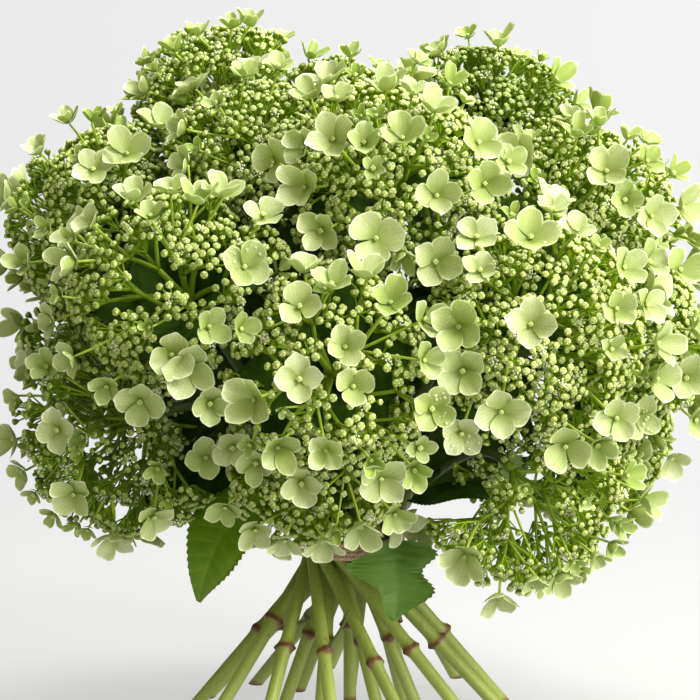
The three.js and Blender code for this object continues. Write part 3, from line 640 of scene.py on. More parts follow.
def petal(look):
    along, across, tint, pale = map(look.number, ("along", "across", "tint", "pale"))
    below, rim = look.number("below"), look.number("rim")
    # Each runs from the heart to the petal's edge.
    fresh = look.ramp(
        along, (0.0, (112, 140, 22)), (0.2, (146, 168, 50)), (0.55, (178, 195, 90)), (1.0, (202, 213, 126))
    )
    cream = look.ramp(
        along, (0.0, (144, 164, 56)), (0.2, (190, 202, 116)), (0.55, (224, 229, 186)), (1.0, (238, 240, 222))
    )
    young = look.ramp(
        along, (0.0, (112, 146, 20)), (0.3, (146, 176, 36)), (0.7, (172, 198, 60)), (1.0, (188, 210, 88))
    )
    colour = look.blend(pale, fresh, cream)
    patches = look.ramp(look.noise(220.0), (0.35, BLACK), (0.7, WHITE))
    colour = look.blend(look.times(patches, 0.35), colour, fresh)
    colour = look.blend(tint, colour, young)
    # Veins run out from the petal's base, part towards its edge and are joined by a fine net.
    wobble = look.maths("MULTIPLY_ADD", look.noise(330.0), 1.1, -0.55)
    lanes = look.maths("MULTIPLY_ADD", across, 3.6, wobble)
    wave = look.maths("ABSOLUTE", look.maths("SINE", look.times(lanes, math.pi)))
    line = look.maths("SUBTRACT", 1.0, look.maths("SMOOTH_MIN", look.times(wave, 4.0), 1.0, 0.2))
    cells = {"Scale": 900.0, "Vector": look.place()}
    walls = look.add("TexVoronoi", "Distance", cells, feature="DISTANCE_TO_EDGE")
    net = look.ramp(walls, (0.0, WHITE), (0.12, BLACK))
    vein = look.maths("MAXIMUM", look.times(line, 0.6), look.times(net, 0.28))
    colour = look.blend(vein, colour, (142, 168, 58))
    colour = look.blend(look.times(below, 0.45), colour, (158, 175, 76))
    # The rim is painted nearly white: partly the petal's paler edge, partly a painted highlight along it.
    bright = look.ramp(rim, (0.45, BLACK), (0.95, WHITE))
    colour = look.blend(look.times(bright, 0.85), colour, (250, 252, 228))
    look.finish(colour, 0.56, look.bump(vein, 0.4, 0.0003), through=0.34, coat=0.1, shine=1.0)


def bud(look):
    cup = [(0.0, (92, 122, 8)), (0.4, (120, 146, 14)), (0.66, (146, 168, 36))]
    cap = [(0.84, (206, 215, 136)), (1.0, (242, 243, 214))]
    colour = look.ramp(look.number("height"), *cup, *cap)
    # The tint darkens a bud to olive: its own tone, and painted shade on the heads that sit in shade.
    colour = look.blend(look.number("tint"), colour, look.blend(0.6, colour, (92, 124, 22)))
    look.finish(colour, 0.38, look.bump(look.noise(900.0, 2.0), 0.15, 0.0003), through=0.10, shine=0.3)


def ray(look):
    thickness, tint = look.number("thickness"), look.number("tint")
    colour = look.ramp(thickness, (0.0, (152, 184, 34)), (0.5, (140, 168, 38)), (1.0, (130, 154, 38)))
    # Above 0 the tint makes a ray pale, and below 0 it makes it a dark olive green: the head's own tone, and
    # painted shade inside the heads that sit in shade.
    colour = look.blend(look.maths("MAXIMUM", look.times(tint, 0.6), 0.0), colour, (172, 188, 84))
    colour = look.blend(look.maths("MAXIMUM", look.times(tint, -0.75), 0.0), colour, (86, 110, 24))
    look.finish(colour, 0.5, look.bump(look.noise(700.0), 0.2, 0.0003), through=0.1, shine=0.25)


def stem(look):
    scar, height, tint = map(look.number, ("scar", "height", "tint"))
    long_grain = look.add("Mapping", "Vector", {"Vector": look.place(), "Scale": (1.0, 1.0, 0.18)})
    streaks = look.noise(900.0, 4.0, long_grain)
    colour = look.ramp(height, (0.0, (160, 172, 84)), (0.25, (136, 150, 62)), (1.0, (100, 120, 36)))
    colour = look.blend(look.times(tint, 0.55), colour, (104, 122, 44))
    streak = look.ramp(streaks, (0.35, BLACK), (0.75, WHITE))
    colour = look.blend(look.times(streak, 0.35), colour, (160, 172, 86))
    fleck = look.ramp(look.noise(380.0, 2.0), (0.68, BLACK), (0.74, WHITE))
    colour = look.blend(look.times(fleck, 0.55), colour, (104, 88, 42))
    # A stem is painted darker where it goes in among the others: painted shade from the heads around it.
    deep = look.ramp(height, (0.42, BLACK), (0.58, (0.85, 0.85, 0.85, 1.0)))
    colour = look.blend(deep, colour, (58, 80, 22))
    brown = look.ramp(scar, (0.0, (120, 118, 50)), (0.4, (120, 84, 42)), (1.0, (66, 42, 26)))
    colour = look.blend(look.maths("MINIMUM", look.times(scar, 2.2), 1.0), colour, brown)
    look.finish(colour, 0.46, look.bump(streaks, 0.35, 0.0004), coat=0.1)


def leaf(look):
    colour = look.ramp(look.noise(90.0, 4.0), (0.3, (104, 146, 6)), (0.7, (134, 172, 16)))
    for name, share, other in (
        ("edge", 0.35, (146, 178, 40)),
        ("vein", 0.45, (172, 196, 84)),
        ("under", 0.5, (150, 174, 84)),
        ("grey", 1.0, (104, 144, 70)),
    ):
        colour = look.blend(look.times(look.number(name), share), colour, other)
    look.finish(colour, 0.44, look.bump(look.noise(620.0, 4.0), 0.3, 0.0004), through=0.35, coat=0.05)


def dark_leaf(look):
    """The leaves inside the bouquet, which hardly shine, painted near black: painted shade between the heads.
    """
    colour = look.ramp(look.noise(90.0, 4.0), (0.3, (30, 52, 6)), (0.7, (54, 80, 14)))
    colour = look.blend(look.times(look.number("vein"), 0.3), colour, (84, 108, 34))
    colour = look.blend(look.times(look.number("under"), 0.3), colour, (70, 92, 34))
    look.finish(colour, 0.8, shine=0.08)


def drop(look):
    # A drop has no colour of its own: this pale green is painted light, standing for the petal seen through
    # it and the light it throws back.
    colour = look.ramp(look.noise(300.0, 1.0), (0.3, (206, 218, 156)), (0.7, (222, 230, 184)))
    look.finish(colour, 0.04, coat=1.0, through=0.3, shine=0.6)


def twine(look):
    fibres = look.noise(1400.0, 5.0)
    colour = look.ramp(fibres, (0.3, (184, 150, 124)), (0.6, (216, 188, 164)), (0.85, (234, 212, 192)))
    colour = look.blend(look.times(look.number("strand"), 0.5), colour, (160, 124, 98))
    look.finish(colour, 0.85, look.bump(fibres, 0.7, 0.0006))


PETAL, BUD, RAY, STEM, LEAF, DARK_LEAF, DROP, TWINE = (
    painted(paint.__name__, paint) for paint in (petal, bud, ray, stem, leaf, dark_leaf, drop, twine)
)


# ---- Shapes used many times ----
def bud_shape(sides=8):
    """A bud in its green cup under a pale cap of four lobes, standing on z = 0, its radius 1."""
    # Radius, height and how far up the colour ramp.
    profile = [
        (0.22, 0.0, 0.0), (0.48, 0.30, 0.12), (0.84, 0.85, 0.35), (1.0, 1.42, 0.62),
        (0.97, 1.72, 0.86), (0.78, 2.02, 1.0), (0.38, 2.20, 0.95),
    ]
    angle = angles(sides)
    points, heights = [], []
    for k, (radius, z, level) in enumerate(profile):
        lobe = (np.arange(sides) % 2) * (k >= 5)  # every second column is a groove of the cap
        out = radius * (1 - 0.10 * lobe)
        points.append(np.stack([out * np.cos(angle), out * np.sin(angle), z - 0.10 * lobe], axis=1))
        heights.append(level - 0.36 * lobe)
    points = np.concatenate(points + [[[0, 0, 2.12]]])
    heights = np.concatenate(heights + [[0.66]])
    top = len(points) - 1
    ring = top - sides
    cap = [(ring + k, ring + (k + 1) % sides, top) for k in range(sides)]
    return points, np.concatenate([grid_faces(len(profile), sides, closed=True), cap]), heights


def drop_shape(sides=10):
    """A flat round drop on z = 0, its radius 1."""
    rings = [(1.0, 0.0), (0.92, 0.28), (0.62, 0.52), (0.25, 0.62)]
    angle = angles(sides)
    points = [np.stack([r * np.cos(angle), r * np.sin(angle), np.full(sides, z)], axis=1) for r, z in rings]
    points = np.concatenate(points + [[[0, 0, 0.64], [0, 0, -0.1]]])
    top, end, k = len(points) - 2, 3 * sides, np.arange(sides)
    cap = np.stack([end + k, end + (k + 1) % sides, np.full(sides, top)], axis=1)
    foot = np.stack([(k + 1) % sides, k, np.full(sides, top + 1)], axis=1)
    return points, np.concatenate([grid_faces(4, sides, closed=True), cap, foot])


def petal_shape(draw):
    """One petal along +x from the floret's heart, 1 long, with a face above and one below that share a rim.

    It returns its points, its triangles, how much of the floret's cup each point rises by, and the points'
    numbers.
    """
    n = PETAL_GRID
    wide = 0.51 + 0.08 * draw()
    curl = 0.15 + 0.45 * draw()
    roll = 0.08 + 0.10 * draw()
    lean = 0.16 * (draw() - 0.5)
    waves, wave_place = 0.015 + 0.03 * draw(), math.tau * draw()
    tip = 0.15 - 0.12 * draw()
    s, t = np.meshgrid(np.linspace(-1, 1, n), np.linspace(-1, 1, n), indexing="ij")
    # A square grid pressed into a disc, broadest past its middle and narrowed towards the heart.
    x = 0.03 + 0.97 * ((1 + s * np.sqrt(1 - t**2 / 2)) / 2) ** 0.85
    disc = t * np.sqrt(1 - s**2 / 2)
    swell = np.clip(x / 0.5, 0, 1)
    y = wide * disc * mix(0.62, 1.0, swell * swell * (3 - 2 * swell)) + lean * x**2
    # A petal is bent up along its middle more than it follows the bowl of all four.
    rise = 0.9 * mix(x, np.hypot(x, y), 0.35) ** 1.7
    z = curl * y**2 / wide + roll * y * x - 0.05 * np.exp(-((disc / 0.2) ** 2)) * x * (1 - x)
    z = z + waves * np.sin(5 * disc + 4 * x + wave_place) * x**2
    x = x + tip * np.exp(-((disc / 0.3) ** 2)) * np.clip((x - 0.65) / 0.35, 0, 1)
    top = np.stack([x, y, z], axis=2)
    thick = 0.028 * (1 - t**2) * (1 - s**2)
    edge = np.maximum(np.abs(s), np.abs(t))
    inside = edge < 0.999
    # The sheet below has points of its own inside the rim.
    where = np.arange(n * n).reshape(n, n)
    where[inside] = n * n + np.arange(inside.sum())
    under = top[inside] - np.stack([0 * x, 0 * x, thick], axis=2)[inside]
    faces = list(map(tuple, grid_faces(n, n)))
    for r in range(n - 1):
        for c in range(n - 1):
            a, b, d, e = where[r, c], where[r, c + 1], where[r + 1, c], where[r + 1, c + 1]
            faces += [(a, e, b), (a, d, e)]

    def both(values):
        return np.concatenate([values.ravel(), values[inside]])

    numbers = {
        "along": both(x),
        "across": both(disc),
        "below": np.repeat([0.0, 1.0], [n * n, inside.sum()]),
        "rim": both(edge**5 * np.clip(2 * x, 0, 1)),
        "fold": both(1.0 - inside),
    }
    # grid_faces walks the rows so that the upper face looks along -z, so both sheets are turned over.
    return np.concatenate([top.reshape(-1, 3), under]), np.array(faces)[:, ::-1], both(rise), numbers


BUD_POINTS, BUD_FACES, BUD_HEIGHTS = bud_shape()
DROP_POINTS, DROP_FACES = drop_shape()
GRAIN_POINTS = np.array([[1, 0, 0], [0, 1, 0], [-1, 0, 0], [0, -1, 0], [0, 0, 1.5], [0, 0, -1.2]], float)
GRAIN_FACES = np.array([[k, (k + 1) % 4, 4] for k in range(4)] + [[(k + 1) % 4, k, 5] for k in range(4)])
petal_draw = seeded(5)
PETALS = [petal_shape(petal_draw) for _ in range(PETAL_KINDS)]


# ---- Heads ----
drops = Skin()


def wet_petal(upper, draw):
    """A few drops on the upper sheet of a petal, given as rows and columns of points."""
    for _ in range(5):
        r, c = 2 + int(draw() * 5), 2 + int(draw() * 5)
        spot = upper[r, c]
        normal = unit(np.cross(upper[r + 1, c] - spot, upper[r, c + 1] - spot))
        size = 0.45 + 0.5 * draw()
        add_copies(drops, DROP_POINTS, DROP_FACES, spot[None] - normal * 0.02, frames(normal), size)


def kept_in(centre, looks, reach):
    """The centre, moved in where petals that long would stand outside the object's box."""
    low, high = (np.array(corner) / MM - NECK_MIDDLE for corner in cad_bounds)
    spare = SPARE * (high - low)
    out = reach * np.sqrt(1 - looks**2) + 0.6 * reach * np.maximum(looks, 0)
    back = reach * np.sqrt(1 - looks**2) + 0.6 * reach * np.maximum(-looks, 0)
    return np.clip(centre, low - spare + back, high + spare - out)


class Bloom:
    """One head's florets, rays and buds under way."""

    def __init__(self, head):
        self.head = head
        self.draw = seeded(5000 + 31 * head.index)
        self.thin = head.name in SEEN_THROUGH
        self.outer, self.inner, self.bud_radius, self.olive, self.leaves = HABIT.get(head.name, USUAL_HABIT)
        self.florets, self.rays, self.buds = Skin(), Skin(), Skin()
        self.forks = []  # where the florets' stalks can leave
        self.grow_rays(*self.cluster_places())
        self.grow_florets()
        if head.name == "low_right":
            self.grow_sprays()
        # The peduncle's top swells a little where the rays part.
        path = head.crown + head.axis * np.linspace(-COLLAR_DROP, 1.5, 5)[:, None]
        add_tube(self.rays, path, [2.2, 2.35, 2.6, 2.3, 1.2], 10, thickness=1.0, tint=0.2)
        parts = {"florets": (self.florets, PETAL), "buds": (self.buds, BUD), "rays": (self.rays, RAY)}
        for name, (skin, look) in parts.items():
            skin.piece(f"{name}_{head.name}", look, "flower_heads", [f"head_{head.name}"])

    def cluster_places(self):
        """Which way from the crown each cluster is, and how far: on the dome or at a nearer cell wall."""
        head = self.head
        ways = head.even_ways(self.outer, -0.02 if self.thin else 0.06, self.draw)
        reach = head.clear_reach(ways, BUD_ROOM)
        keep = reach > 0.45 * head.reach(ways)
        if self.thin:
            keep &= np.abs(ways[:, 1]) < OPEN_WITHIN
        ways, reach = ways[keep], reach[keep] * np.linspace(1.0, 0.9, 5)[np.arange(keep.sum()) * 3 % 5]
        if self.inner:
            deep = head.even_ways(self.inner, 0.1, self.draw)
            depth = np.minimum(head.clear_reach(deep, BUD_ROOM), 0.9 * head.reach(deep))
            depth = depth * (np.linspace(0.95, 0.5, self.inner) if self.thin else 0.8)
            ways, reach = np.concatenate([ways, deep]), np.concatenate([reach, depth])
        if head.name in LOOSE_TO_THE_LEFT:
            reach = reach * (1 + 0.15 * np.clip(-ways[:, 0], 0, 1))
        return ways, reach

    def stalk(self, curve, radii, sides, **numbers):
        add_tube(self.rays, bezier(curve, np.linspace(0, 1, len(radii))), radii, sides, **numbers)

    def grow_rays(self, ways, reach):
        """Main rays part at the crown, then into side rays that each carry a few clusters of buds."""
        head, draw, olive = self.head, self.draw, self.olive
        crown = head.crown
        stout, per_side_ray = (0.72, 3.2) if self.thin else (0.94, 2.2)
        main = head.even_ways(RAYS_SEEN_THROUGH if self.thin else MAIN_RAYS, 0.30, draw)
        nearest = (ways @ main.T).argmax(axis=1)
        for m, way in enumerate(main):
            mine = np.flatnonzero(nearest == m)
            if len(mine) == 0:
                continue
            far = reach[mine].mean()
            fork = crown + unit(way + 0.35 * unit(ways[mine].mean(axis=0))) * far * (0.36 + 0.08 * draw())
            bend = crown + unit(0.5 * head.axis + way) * far * 0.2
            green = -olive * (0.5 + 0.5 * draw())
            radii = stout * np.linspace(1.75, 1.3, 6)
            self.stalk([crown, bend, fork], radii, 7, thickness=np.linspace(1, 0.7, 6), tint=green)
            u, v = sideways(way)
            order = mine[np.argsort(np.arctan2((ways[mine] - way) @ v, (ways[mine] - way) @ u))]
            for group in np.array_split(order, max(1, round(len(order) / per_side_ray))):
                toward = unit(ways[group].mean(axis=0))
                side = fork + (crown + toward * reach[group].mean() * 0.70 - fork) * (0.85 + 0.2 * draw())
                self.forks.append(side)
                green = -olive * (0.4 + 0.6 * draw())
                curve = [fork, mix(fork, side, 0.5) + way * 0.8, side]
                radii = stout * np.linspace(1.15, 0.9, 4)
                self.stalk(curve, radii, 6, thickness=np.linspace(0.6, 0.4, 4), tint=green)
                for c in group:
                    top = crown + ways[c] * (reach[c] - 1.6 * self.bud_radius[1])
                    joint = crown + ways[c] * (reach[c] - 9.5 - 2.5 * draw())
                    self.twig(side, joint, 0.85 * stout, 0.7 * stout, -olive * draw())
                    self.grow_cluster(joint, top, ways[c], olive)

    def twig(self, start, end, start_radius, end_radius, tint):
        add_rods(self.rays, start, end, start_radius, end_radius, 5, thickness=[[0.4], [0.25]], tint=tint)

    def grow_cluster(self, joint, top, way, olive):
        """A small umbel of buds round one point of the dome, some with a tuft of tiny late buds inside."""
        draw, head = self.draw, self.head
        u, v = sideways(way)
        fewer = 0.85 if self.thin else 1.0
        count = int(mix(*BUDS_IN_CLUSTER, draw()) * fewer)
        places, sizes, tints = [], [], []
        phase = math.tau * draw()
        tone = draw()
        for k in range(count):
            out = fewer * CLUSTER_RADIUS * math.sqrt((k + 0.3) / count) * (0.86 + 0.28 * draw())
            turn = phase + GOLDEN_TURN * k + 0.5 * draw()
            sunk = 0.03 * out * out + 2.6 * (draw() - 0.5)
            spot = top + out * around(turn, u, v) - way * sunk
            if head.room(spot) < BUD_ROOM:
                continue
            places.append(spot)
            sizes.append(mix(*self.bud_radius, draw()) * (0.72 if draw() < 0.12 else 1.0))
            tints.append([min(1.0, olive * (0.4 + 0.6 * draw()) + 0.35 * tone * draw())])
        if places:
            places, sizes = np.array(places), np.array(sizes)
            axes = unit(unit(places - joint) + 0.5 * way)
            foot = places - axes * sizes[:, None]
            numbers = {"height": BUD_HEIGHTS, "tint": tints}
            add_copies(self.buds, BUD_POINTS, BUD_FACES, foot, frames(axes), sizes, **numbers)
            radii = PEDICEL_RADIUS, PEDICEL_RADIUS * 0.85
            add_rods(self.rays, joint, foot + axes * 0.3, *radii, 4, thickness=0.1, tint=-0.7 * olive)
        if draw() < TUFT_SHARE:
            tuft = []
            for k in range(TUFT_BUDS):
                turn, out, up = GOLDEN_TURN * k, 2.3 * math.sqrt(k / TUFT_BUDS), 2.4 * draw()
                tuft.append(top + out * around(turn, u, v) + way * (up - 0.4))
            tuft = np.array(tuft)
            turns, size = frames(unit(tuft - joint)), 0.46 + 0.2 * draw()
            add_copies(self.buds, GRAIN_POINTS, GRAIN_FACES, tuft, turns, size, height=1.0, tint=0.0)
            add_rods(self.rays, joint, tuft, 0.2, 0.16, 3, thickness=0.0, tint=0.0)

    def grow_florets(self):
        """The florets of the table and the rule, then small ones that opened late."""
        head, draw = self.head, self.draw
        for number_in_table, place in enumerate(floret_places(head)):
            self.grow_floret(*place, wet=(head.name, number_in_table) in WET)
        listed = head.name in FLORETS
        late, toward = RUFFLES.get(head.name, (3 if listed else 5, None))
        for k in range(late):
            turn = math.tau * (k + draw()) / late
            radius = mix(*LATE_FLORET[listed], draw())
            direction = head.direction(turn, math.radians(mix(30, 84, draw())))
            if toward and direction @ unit(toward) < 0.1:
                turned = direction + 1.2 * unit(toward)
                direction = unit(turned + 0.5 * np.array([draw(), draw(), draw()]) - 0.25)
            sunk = 3.0 if head.name in YOUNG else 0.0
            centre = head.crown + direction * (head.clear_reach(direction, 4.0) + mix(-4, 2, draw()) - sunk)
            looks = unit(direction + head.axis * (0.2 + 0.4 * draw()))
            if head.room(centre) > 2.5:
                self.grow_floret(centre, direction, looks, radius, 6.3 * draw())

    def grow_floret(self, centre, direction, looks, radius, spin, wet=False):
        """Cupped petals round a heart, turned the way it looks, on a bent stalk from the nearest fork."""
        draw = self.draw
        root = min(self.forks, key=lambda fork: np.linalg.norm(fork - centre))
        centre = kept_in(centre, looks, 1.08 * radius)
        base = np.stack([*sideways(looks), looks], axis=1)
        # Small ones are young and still green.
        tint = min(1.0, max(0.0, 0.95 - (radius - 3.5) / 5.0)) * (0.55 + 0.45 * draw()) + 0.25 * draw() ** 2
        pale = mix(0.35 if radius > 6 else 0.0, 1.0, draw() ** 0.6)
        cup = (FLAT_CUP + 0.1 - CUP_LOSS * radius) * mix(0.9, 2.0, draw())
        spread = math.sqrt(1 + (0.55 * cup) ** 2)  # a cupped one is made larger, to look as wide
        count = 3 if draw() < 0.08 else 4
        narrow = 0.03 + 0.09 * draw()
        slim = (0.86 if radius < 5.8 else 1.0) * (1.0 if count == 4 else 1.2)
        for k in range(count):
            points, faces, rise, numbers = PETALS[int(draw() * len(PETALS))]
            turned = turn_about(base, spin + math.tau * k / count + 0.16 * (draw() - 0.5))
            size = radius * spread * (0.94 + 0.12 * draw() - narrow * (k % 2))
            # Two opposite petals stand inside the other two and steeper.
            lift, steep = (0.6, 1.15) if k % 2 else (0.0, 0.9)
            shaped = points * np.array([1.0, slim, 1.0])
            shaped[:, 2] += rise * cup * (0.7 + 0.6 * draw()) * steep
            placed = centre + looks * lift + size * shaped @ turned.T
            if wet and k in (1, 2):
                upper = placed[: PETAL_GRID**2].reshape(PETAL_GRID, PETAL_GRID, 3)
                wet_petal(upper, seeded(k + int(1e3 * abs(spin))))
            self.florets.add(placed, faces, tint=tint, pale=pale * (0.7 + 0.3 * draw()), **numbers)
        place, size = (centre + looks * 0.1)[None], 0.95 + 0.35 * draw()
        add_copies(
            self.buds, BUD_POINTS, BUD_FACES, place, base[None], size, height=BUD_HEIGHTS, tint=0.35 * draw()
        )
        bend = mix(root, centre, 0.55) - self.head.axis * 1.5 + direction * 1.0
        thick = 0.5 + 0.035 * radius
        radii = np.linspace(thick, 0.75 * thick, 6)
        self.stalk([root, bend, centre - looks * 0.35], radii, 6, thickness=0.1, tint=0.7 + 0.3 * draw())

    def grow_sprays(self):
        """Single clusters over the open head's bare rays."""
        head = self.head
        for spot in SPRAYS:
            spot = np.array(spot, float)
            foot = head.crown - head.axis * 2 + 0.35 * (spot - head.crown)
            way = unit(spot - foot + np.array([0, -4.0, 0]))
            self.twig(foot, spot - way * 6, 0.7, 0.5, -0.5)
            self.grow_cluster(spot - way * 6, spot, way, 0.6)


blooms = [Bloom(head) for head in heads]
drops.piece("water_drops", DROP, "flower_heads")


# ---- Stems ----
def stem_line(head):
    """A stem's foot, neck, bend, straight way, curve above the bend and its scar's place as a share."""
    draw = seeded(900 + head.index)
    neck, way = np.array([0, 0, NECK_HEIGHT]), np.array([0, 0, 1.0])
    if head.ring:
        turn = math.radians(head.ring["first"] + 360 / head.ring["slots"] * head.slot + TWIST)
        lean = math.radians(head.ring["lean"])
        radius = head.ring["radius"]
        neck = np.array([radius * math.cos(turn), radius * math.sin(turn), NECK_HEIGHT])
        way = np.array([math.sin(turn) * math.sin(lean), -math.cos(turn) * math.sin(lean), math.cos(lean)])
    raised = 2 + 7 * draw() if head.index % 3 == 1 else 0.0
    foot = neck - way * (NECK_HEIGHT - raised) / way[2]
    bend = neck + way * STRAIGHT_ABOVE_NECK / way[2]
    end = head.crown - head.axis * (COLLAR_DROP + 0.4)
    pull = head.bow * np.linalg.norm(end - bend)
    curve = [bend, bend + way * pull, end - head.axis * pull, end]
    return foot, neck, bend, way, curve, 0.3 + 0.3 * draw()


def build_stem(head, sides=12):
    foot, neck, bend, way, curve, scar_share = stem_line(head)
    draw = seeded(7000 + head.index)
    straight = np.linalg.norm(bend - foot)
    scar_at = scar_share * np.linalg.norm(neck - foot)
    near_scar = scar_at + np.linspace(-4.5, 4.5, 13)
    distances = np.unique(np.concatenate([np.linspace(0, straight, 26), near_scar]))
    path = np.array([foot + way * d for d in distances] + list(bezier(curve, np.linspace(0, 1, 26))[1:]))
    steps = np.concatenate([[0], np.cumsum(np.linalg.norm(np.diff(path, axis=0), axis=1))])
    total = steps[-1]
    upper = scar_at + 62 + 20 * draw()
    scars = [scar_at] + ([upper] if upper < total - 25 else [])
    angle = angles(sides)
    above = np.clip((steps - straight) / max(1.0, total - straight), 0, 1)
    radii = mix(STEM_RADIUS, STEM_TOP_RADIUS, above)[:, None] * np.ones(sides)
    radii += 0.10 * np.sin(3 * angle + 6 * draw())[None, :]
    scar = np.zeros((len(path), sides))
    turn = math.tau * draw()
    for k, place in enumerate(scars):
        near = (steps - place)[:, None] / NODE_HALF_LENGTH
        facing_scar = 0.5 + 0.5 * np.cos(2 * (angle - turn - k * math.pi / 2))[None, :]
        swelling = np.exp(-(near**2) * 1.1) * (0.55 + 0.45 * facing_scar)
        radii += (NODE_SWELLING - 0.1) * swelling
        # The stub of the old leaf's stalk stands out on two sides.
        radii += 1.5 * np.exp(-(((near + 0.2) / 0.55) ** 2)) * facing_scar**6
        # Its scar is a brown crescent there, and a thin line joins the two round the stem.
        crescent = np.exp(-(((near + 0.25 - 0.5 * (1 - facing_scar)) / 0.8) ** 2)) * facing_scar**1.2
        line = 0.9 * np.exp(-(((near + 0.1) / 0.42) ** 2))
        scar = np.maximum(scar, np.maximum(crescent, line))
    scar[0] = 0.75  # the cut edge dries brown
    height = np.clip(path[:, 2] / 200, 0, 1)
    skin = Skin()
    add_tube(skin, path, radii, sides, scar=scar, height=height, tint=draw())
    cut = skin.points[0][:sides]
    cut += way * ((foot[2] - cut[:, 2:3]) / way[2])  # the foot is cut level
    if head.name in SHOOTS:
        above, side, length = SHOOTS[head.name]
        start = foot + way * (scar_at + above)
        tip = start + unit(np.array(side, float)) * length
        route = bezier([start, mix(start, tip, 0.5) + np.array([1.5, 0, -1.5]), tip], np.linspace(0, 1, 7))
        add_tube(skin, route, np.linspace(1.0, 0.5, 7), 7, scar=0.0, height=0.8, tint=0.0)
    skin.piece(f"stem_fine_{head.name}", STEM, "stems", [f"stem_{head.name}"])
    return curve


curves = {head.name: build_stem(head) for head in heads}


# ---- Leaves ----
def add_blade(skin, base, tip, up, width, rows=25, columns=9, grey=0.0, crumple=0.08):
    """A toothed, folded and quilted leaf blade between two points."""
    base, tip, up = np.array(base, float), np.array(tip, float), unit(np.array(up, float))
    blade = tip - base
    length = np.linalg.norm(blade)
    way = blade / length
    side = unit(np.cross(way, up))
    face = np.cross(side, way)
    share = np.linspace(0, 1, rows)
    v = np.linspace(-1, 1, columns)
    ovate = np.sin(math.pi * (share * 0.93 + 0.035) ** 0.72)
    saw = np.mod(share * 19 + 0.1, 1.0)
    tooth = 0.95 + 0.10 * saw**1.3 * np.clip(6 * (1 - share), 0, 1)
    half = np.maximum(width / 2 * ovate * tooth, 0.25)
    lobes = crumple * np.sin(math.tau * (1.6 * share[:, None] + np.array([0.10, 0.62])))
    skip = np.clip(share * 6, 0, 1)
    arch = 0.12 * length * np.sin(math.pi * share)
    points, vein = [], []
    for k in range(rows):
        centre = base + blade * share[k] + up * arch[k]
        out = half[k] * np.abs(v)
        # Side veins rise towards the tip, and the blade is quilted between them.
        lane = share[k] * 8.5 - 0.9 * np.abs(v)
        near_vein = np.abs(np.mod(lane, 1.0) - 0.5) * 2
        side_vein = np.clip((near_vein - 0.80) / 0.2, 0, 1) * skip[k]
        mid = np.exp(-((v * half[k] / 0.9) ** 2))
        quilt = 0.25 * np.sin(math.pi * np.mod(lane, 1.0)) * (1 - np.abs(v) ** 3) * min(1.0, half[k] / 8)
        height = 0.18 * out + quilt - 0.35 * mid - 0.10 * half[k] * v**4
        reach = v * half[k] * (1 + np.where(v < 0, lobes[k, 0], lobes[k, 1]))
        height = height + crumple * 9 * v**2 * math.sin(9 * share[k] + 1)
        points.append(centre + np.outer(reach, side) + np.outer(height, face) - np.outer(0.04 * out, way))
        vein.append(np.maximum(side_vein, mid))
    upper = np.array(points)
    thick = 0.30 * (1 - v[None, :] ** 6) * np.clip(8 * (1 - share), 0.3, 1)[:, None] + 0.12
    rib = 0.35 * np.exp(-((v * half[:, None] / 1.1) ** 2))
    lower = upper - thick[..., None] * face - rib[..., None] * face
    faces = grid_faces(rows, columns)[:, ::-1]
    n = rows * columns
    rim = list(range(0, columns)) + [r * columns + columns - 1 for r in range(1, rows)]
    rim += [n - 1 - c for c in range(1, columns)] + [r * columns for r in range(rows - 2, 0, -1)]
    wall = []
    for a, b in zip(rim, rim[1:] + rim[:1]):
        wall += [(a, b, b + n), (a, b + n, a + n)]
    skin.add(
        np.stack([upper, lower]),
        np.concatenate([faces, faces[:, ::-1] + n, np.array(wall)[:, ::-1]]),
        vein=np.array(vein), edge=np.abs(v) ** 4, under=np.arange(2.0)[:, None, None], grey=grey,
    )
    return way, up


def add_leaf_stalk(skin, start, end, start_radius):
    add_rods(skin, start, end, start_radius, 0.8, 6, vein=0.8, edge=0.0, under=0.2, grey=0.0)


def build_leaf(name, stem, at, base, tip, up, width):
    """A leaf that has a node of its own, from its stem."""
    base = np.array(base, float)
    grown = bezier(curves[stem], [at])[0]
    start = mix(grown, base, (STEM_RADIUS - 0.6) / np.linalg.norm(base - grown))
    skin = Skin()
    grey, crumple = (0.7, 0.34) if name == "right_hanging" else (0.1, 0.06)
    if name == "inner_right":
        width = 0.66 * width  # its sides curl under
    way, up = add_blade(skin, base, tip, up, width, 77, 17, grey, crumple)
    route = bezier([start, mix(start, base, 0.6), base + way * 2 + up * 0.3], np.linspace(0, 1, 7))
    add_tube(skin, route, np.linspace(1.35, 0.85, 7), 8, vein=0.8, edge=0.0, under=0.2, grey=grey)
    # Leaves inside the bouquet are painted near black, as painted shade.
    look = DARK_LEAF if name.startswith("inner") else LEAF
    skin.piece(f"leaf_fine_{name}", look, "leaves", [f"leaf_{name}"])


def build_collar(head, count):
    """Leaves on short stalks round the top of the stem, under the head's rays, painted near black as painted
    shade under the head.
    """
    draw = seeded(8000 + head.index)
    skin = Skin()
    for k in range(count):
        turn = math.tau * (k + 0.4 * draw()) / count
        out = around(turn, head.u, head.v)
        way = unit(out + head.axis * (0.22 + 0.25 * draw()))
        long = min(head.clear_reach(way, 3.0), 0.86 * head.radius)
        if long >= 16:
            base = head.crown - head.axis * 2 + way * 4
            add_blade(skin, base, head.crown + way * long, head.axis - 0.2 * out, min(36.0, long * 0.95))
            add_leaf_stalk(skin, head.crown - head.axis * 3, base + way, 1.0)
    if skin.points:
        skin.piece(f"collar_{head.name}", DARK_LEAF, "leaves")


def outside(point):
    """Whether a point is further out than two thirds of its nearest head's dome, or below all of them."""
    head = min(heads, key=lambda one: np.linalg.norm(one.middle - point) - one.radius)
    from_crown = point - head.crown
    return np.linalg.norm(from_crown) > 0.7 * head.radius and from_crown @ head.axis > 0 or point[2] < 96


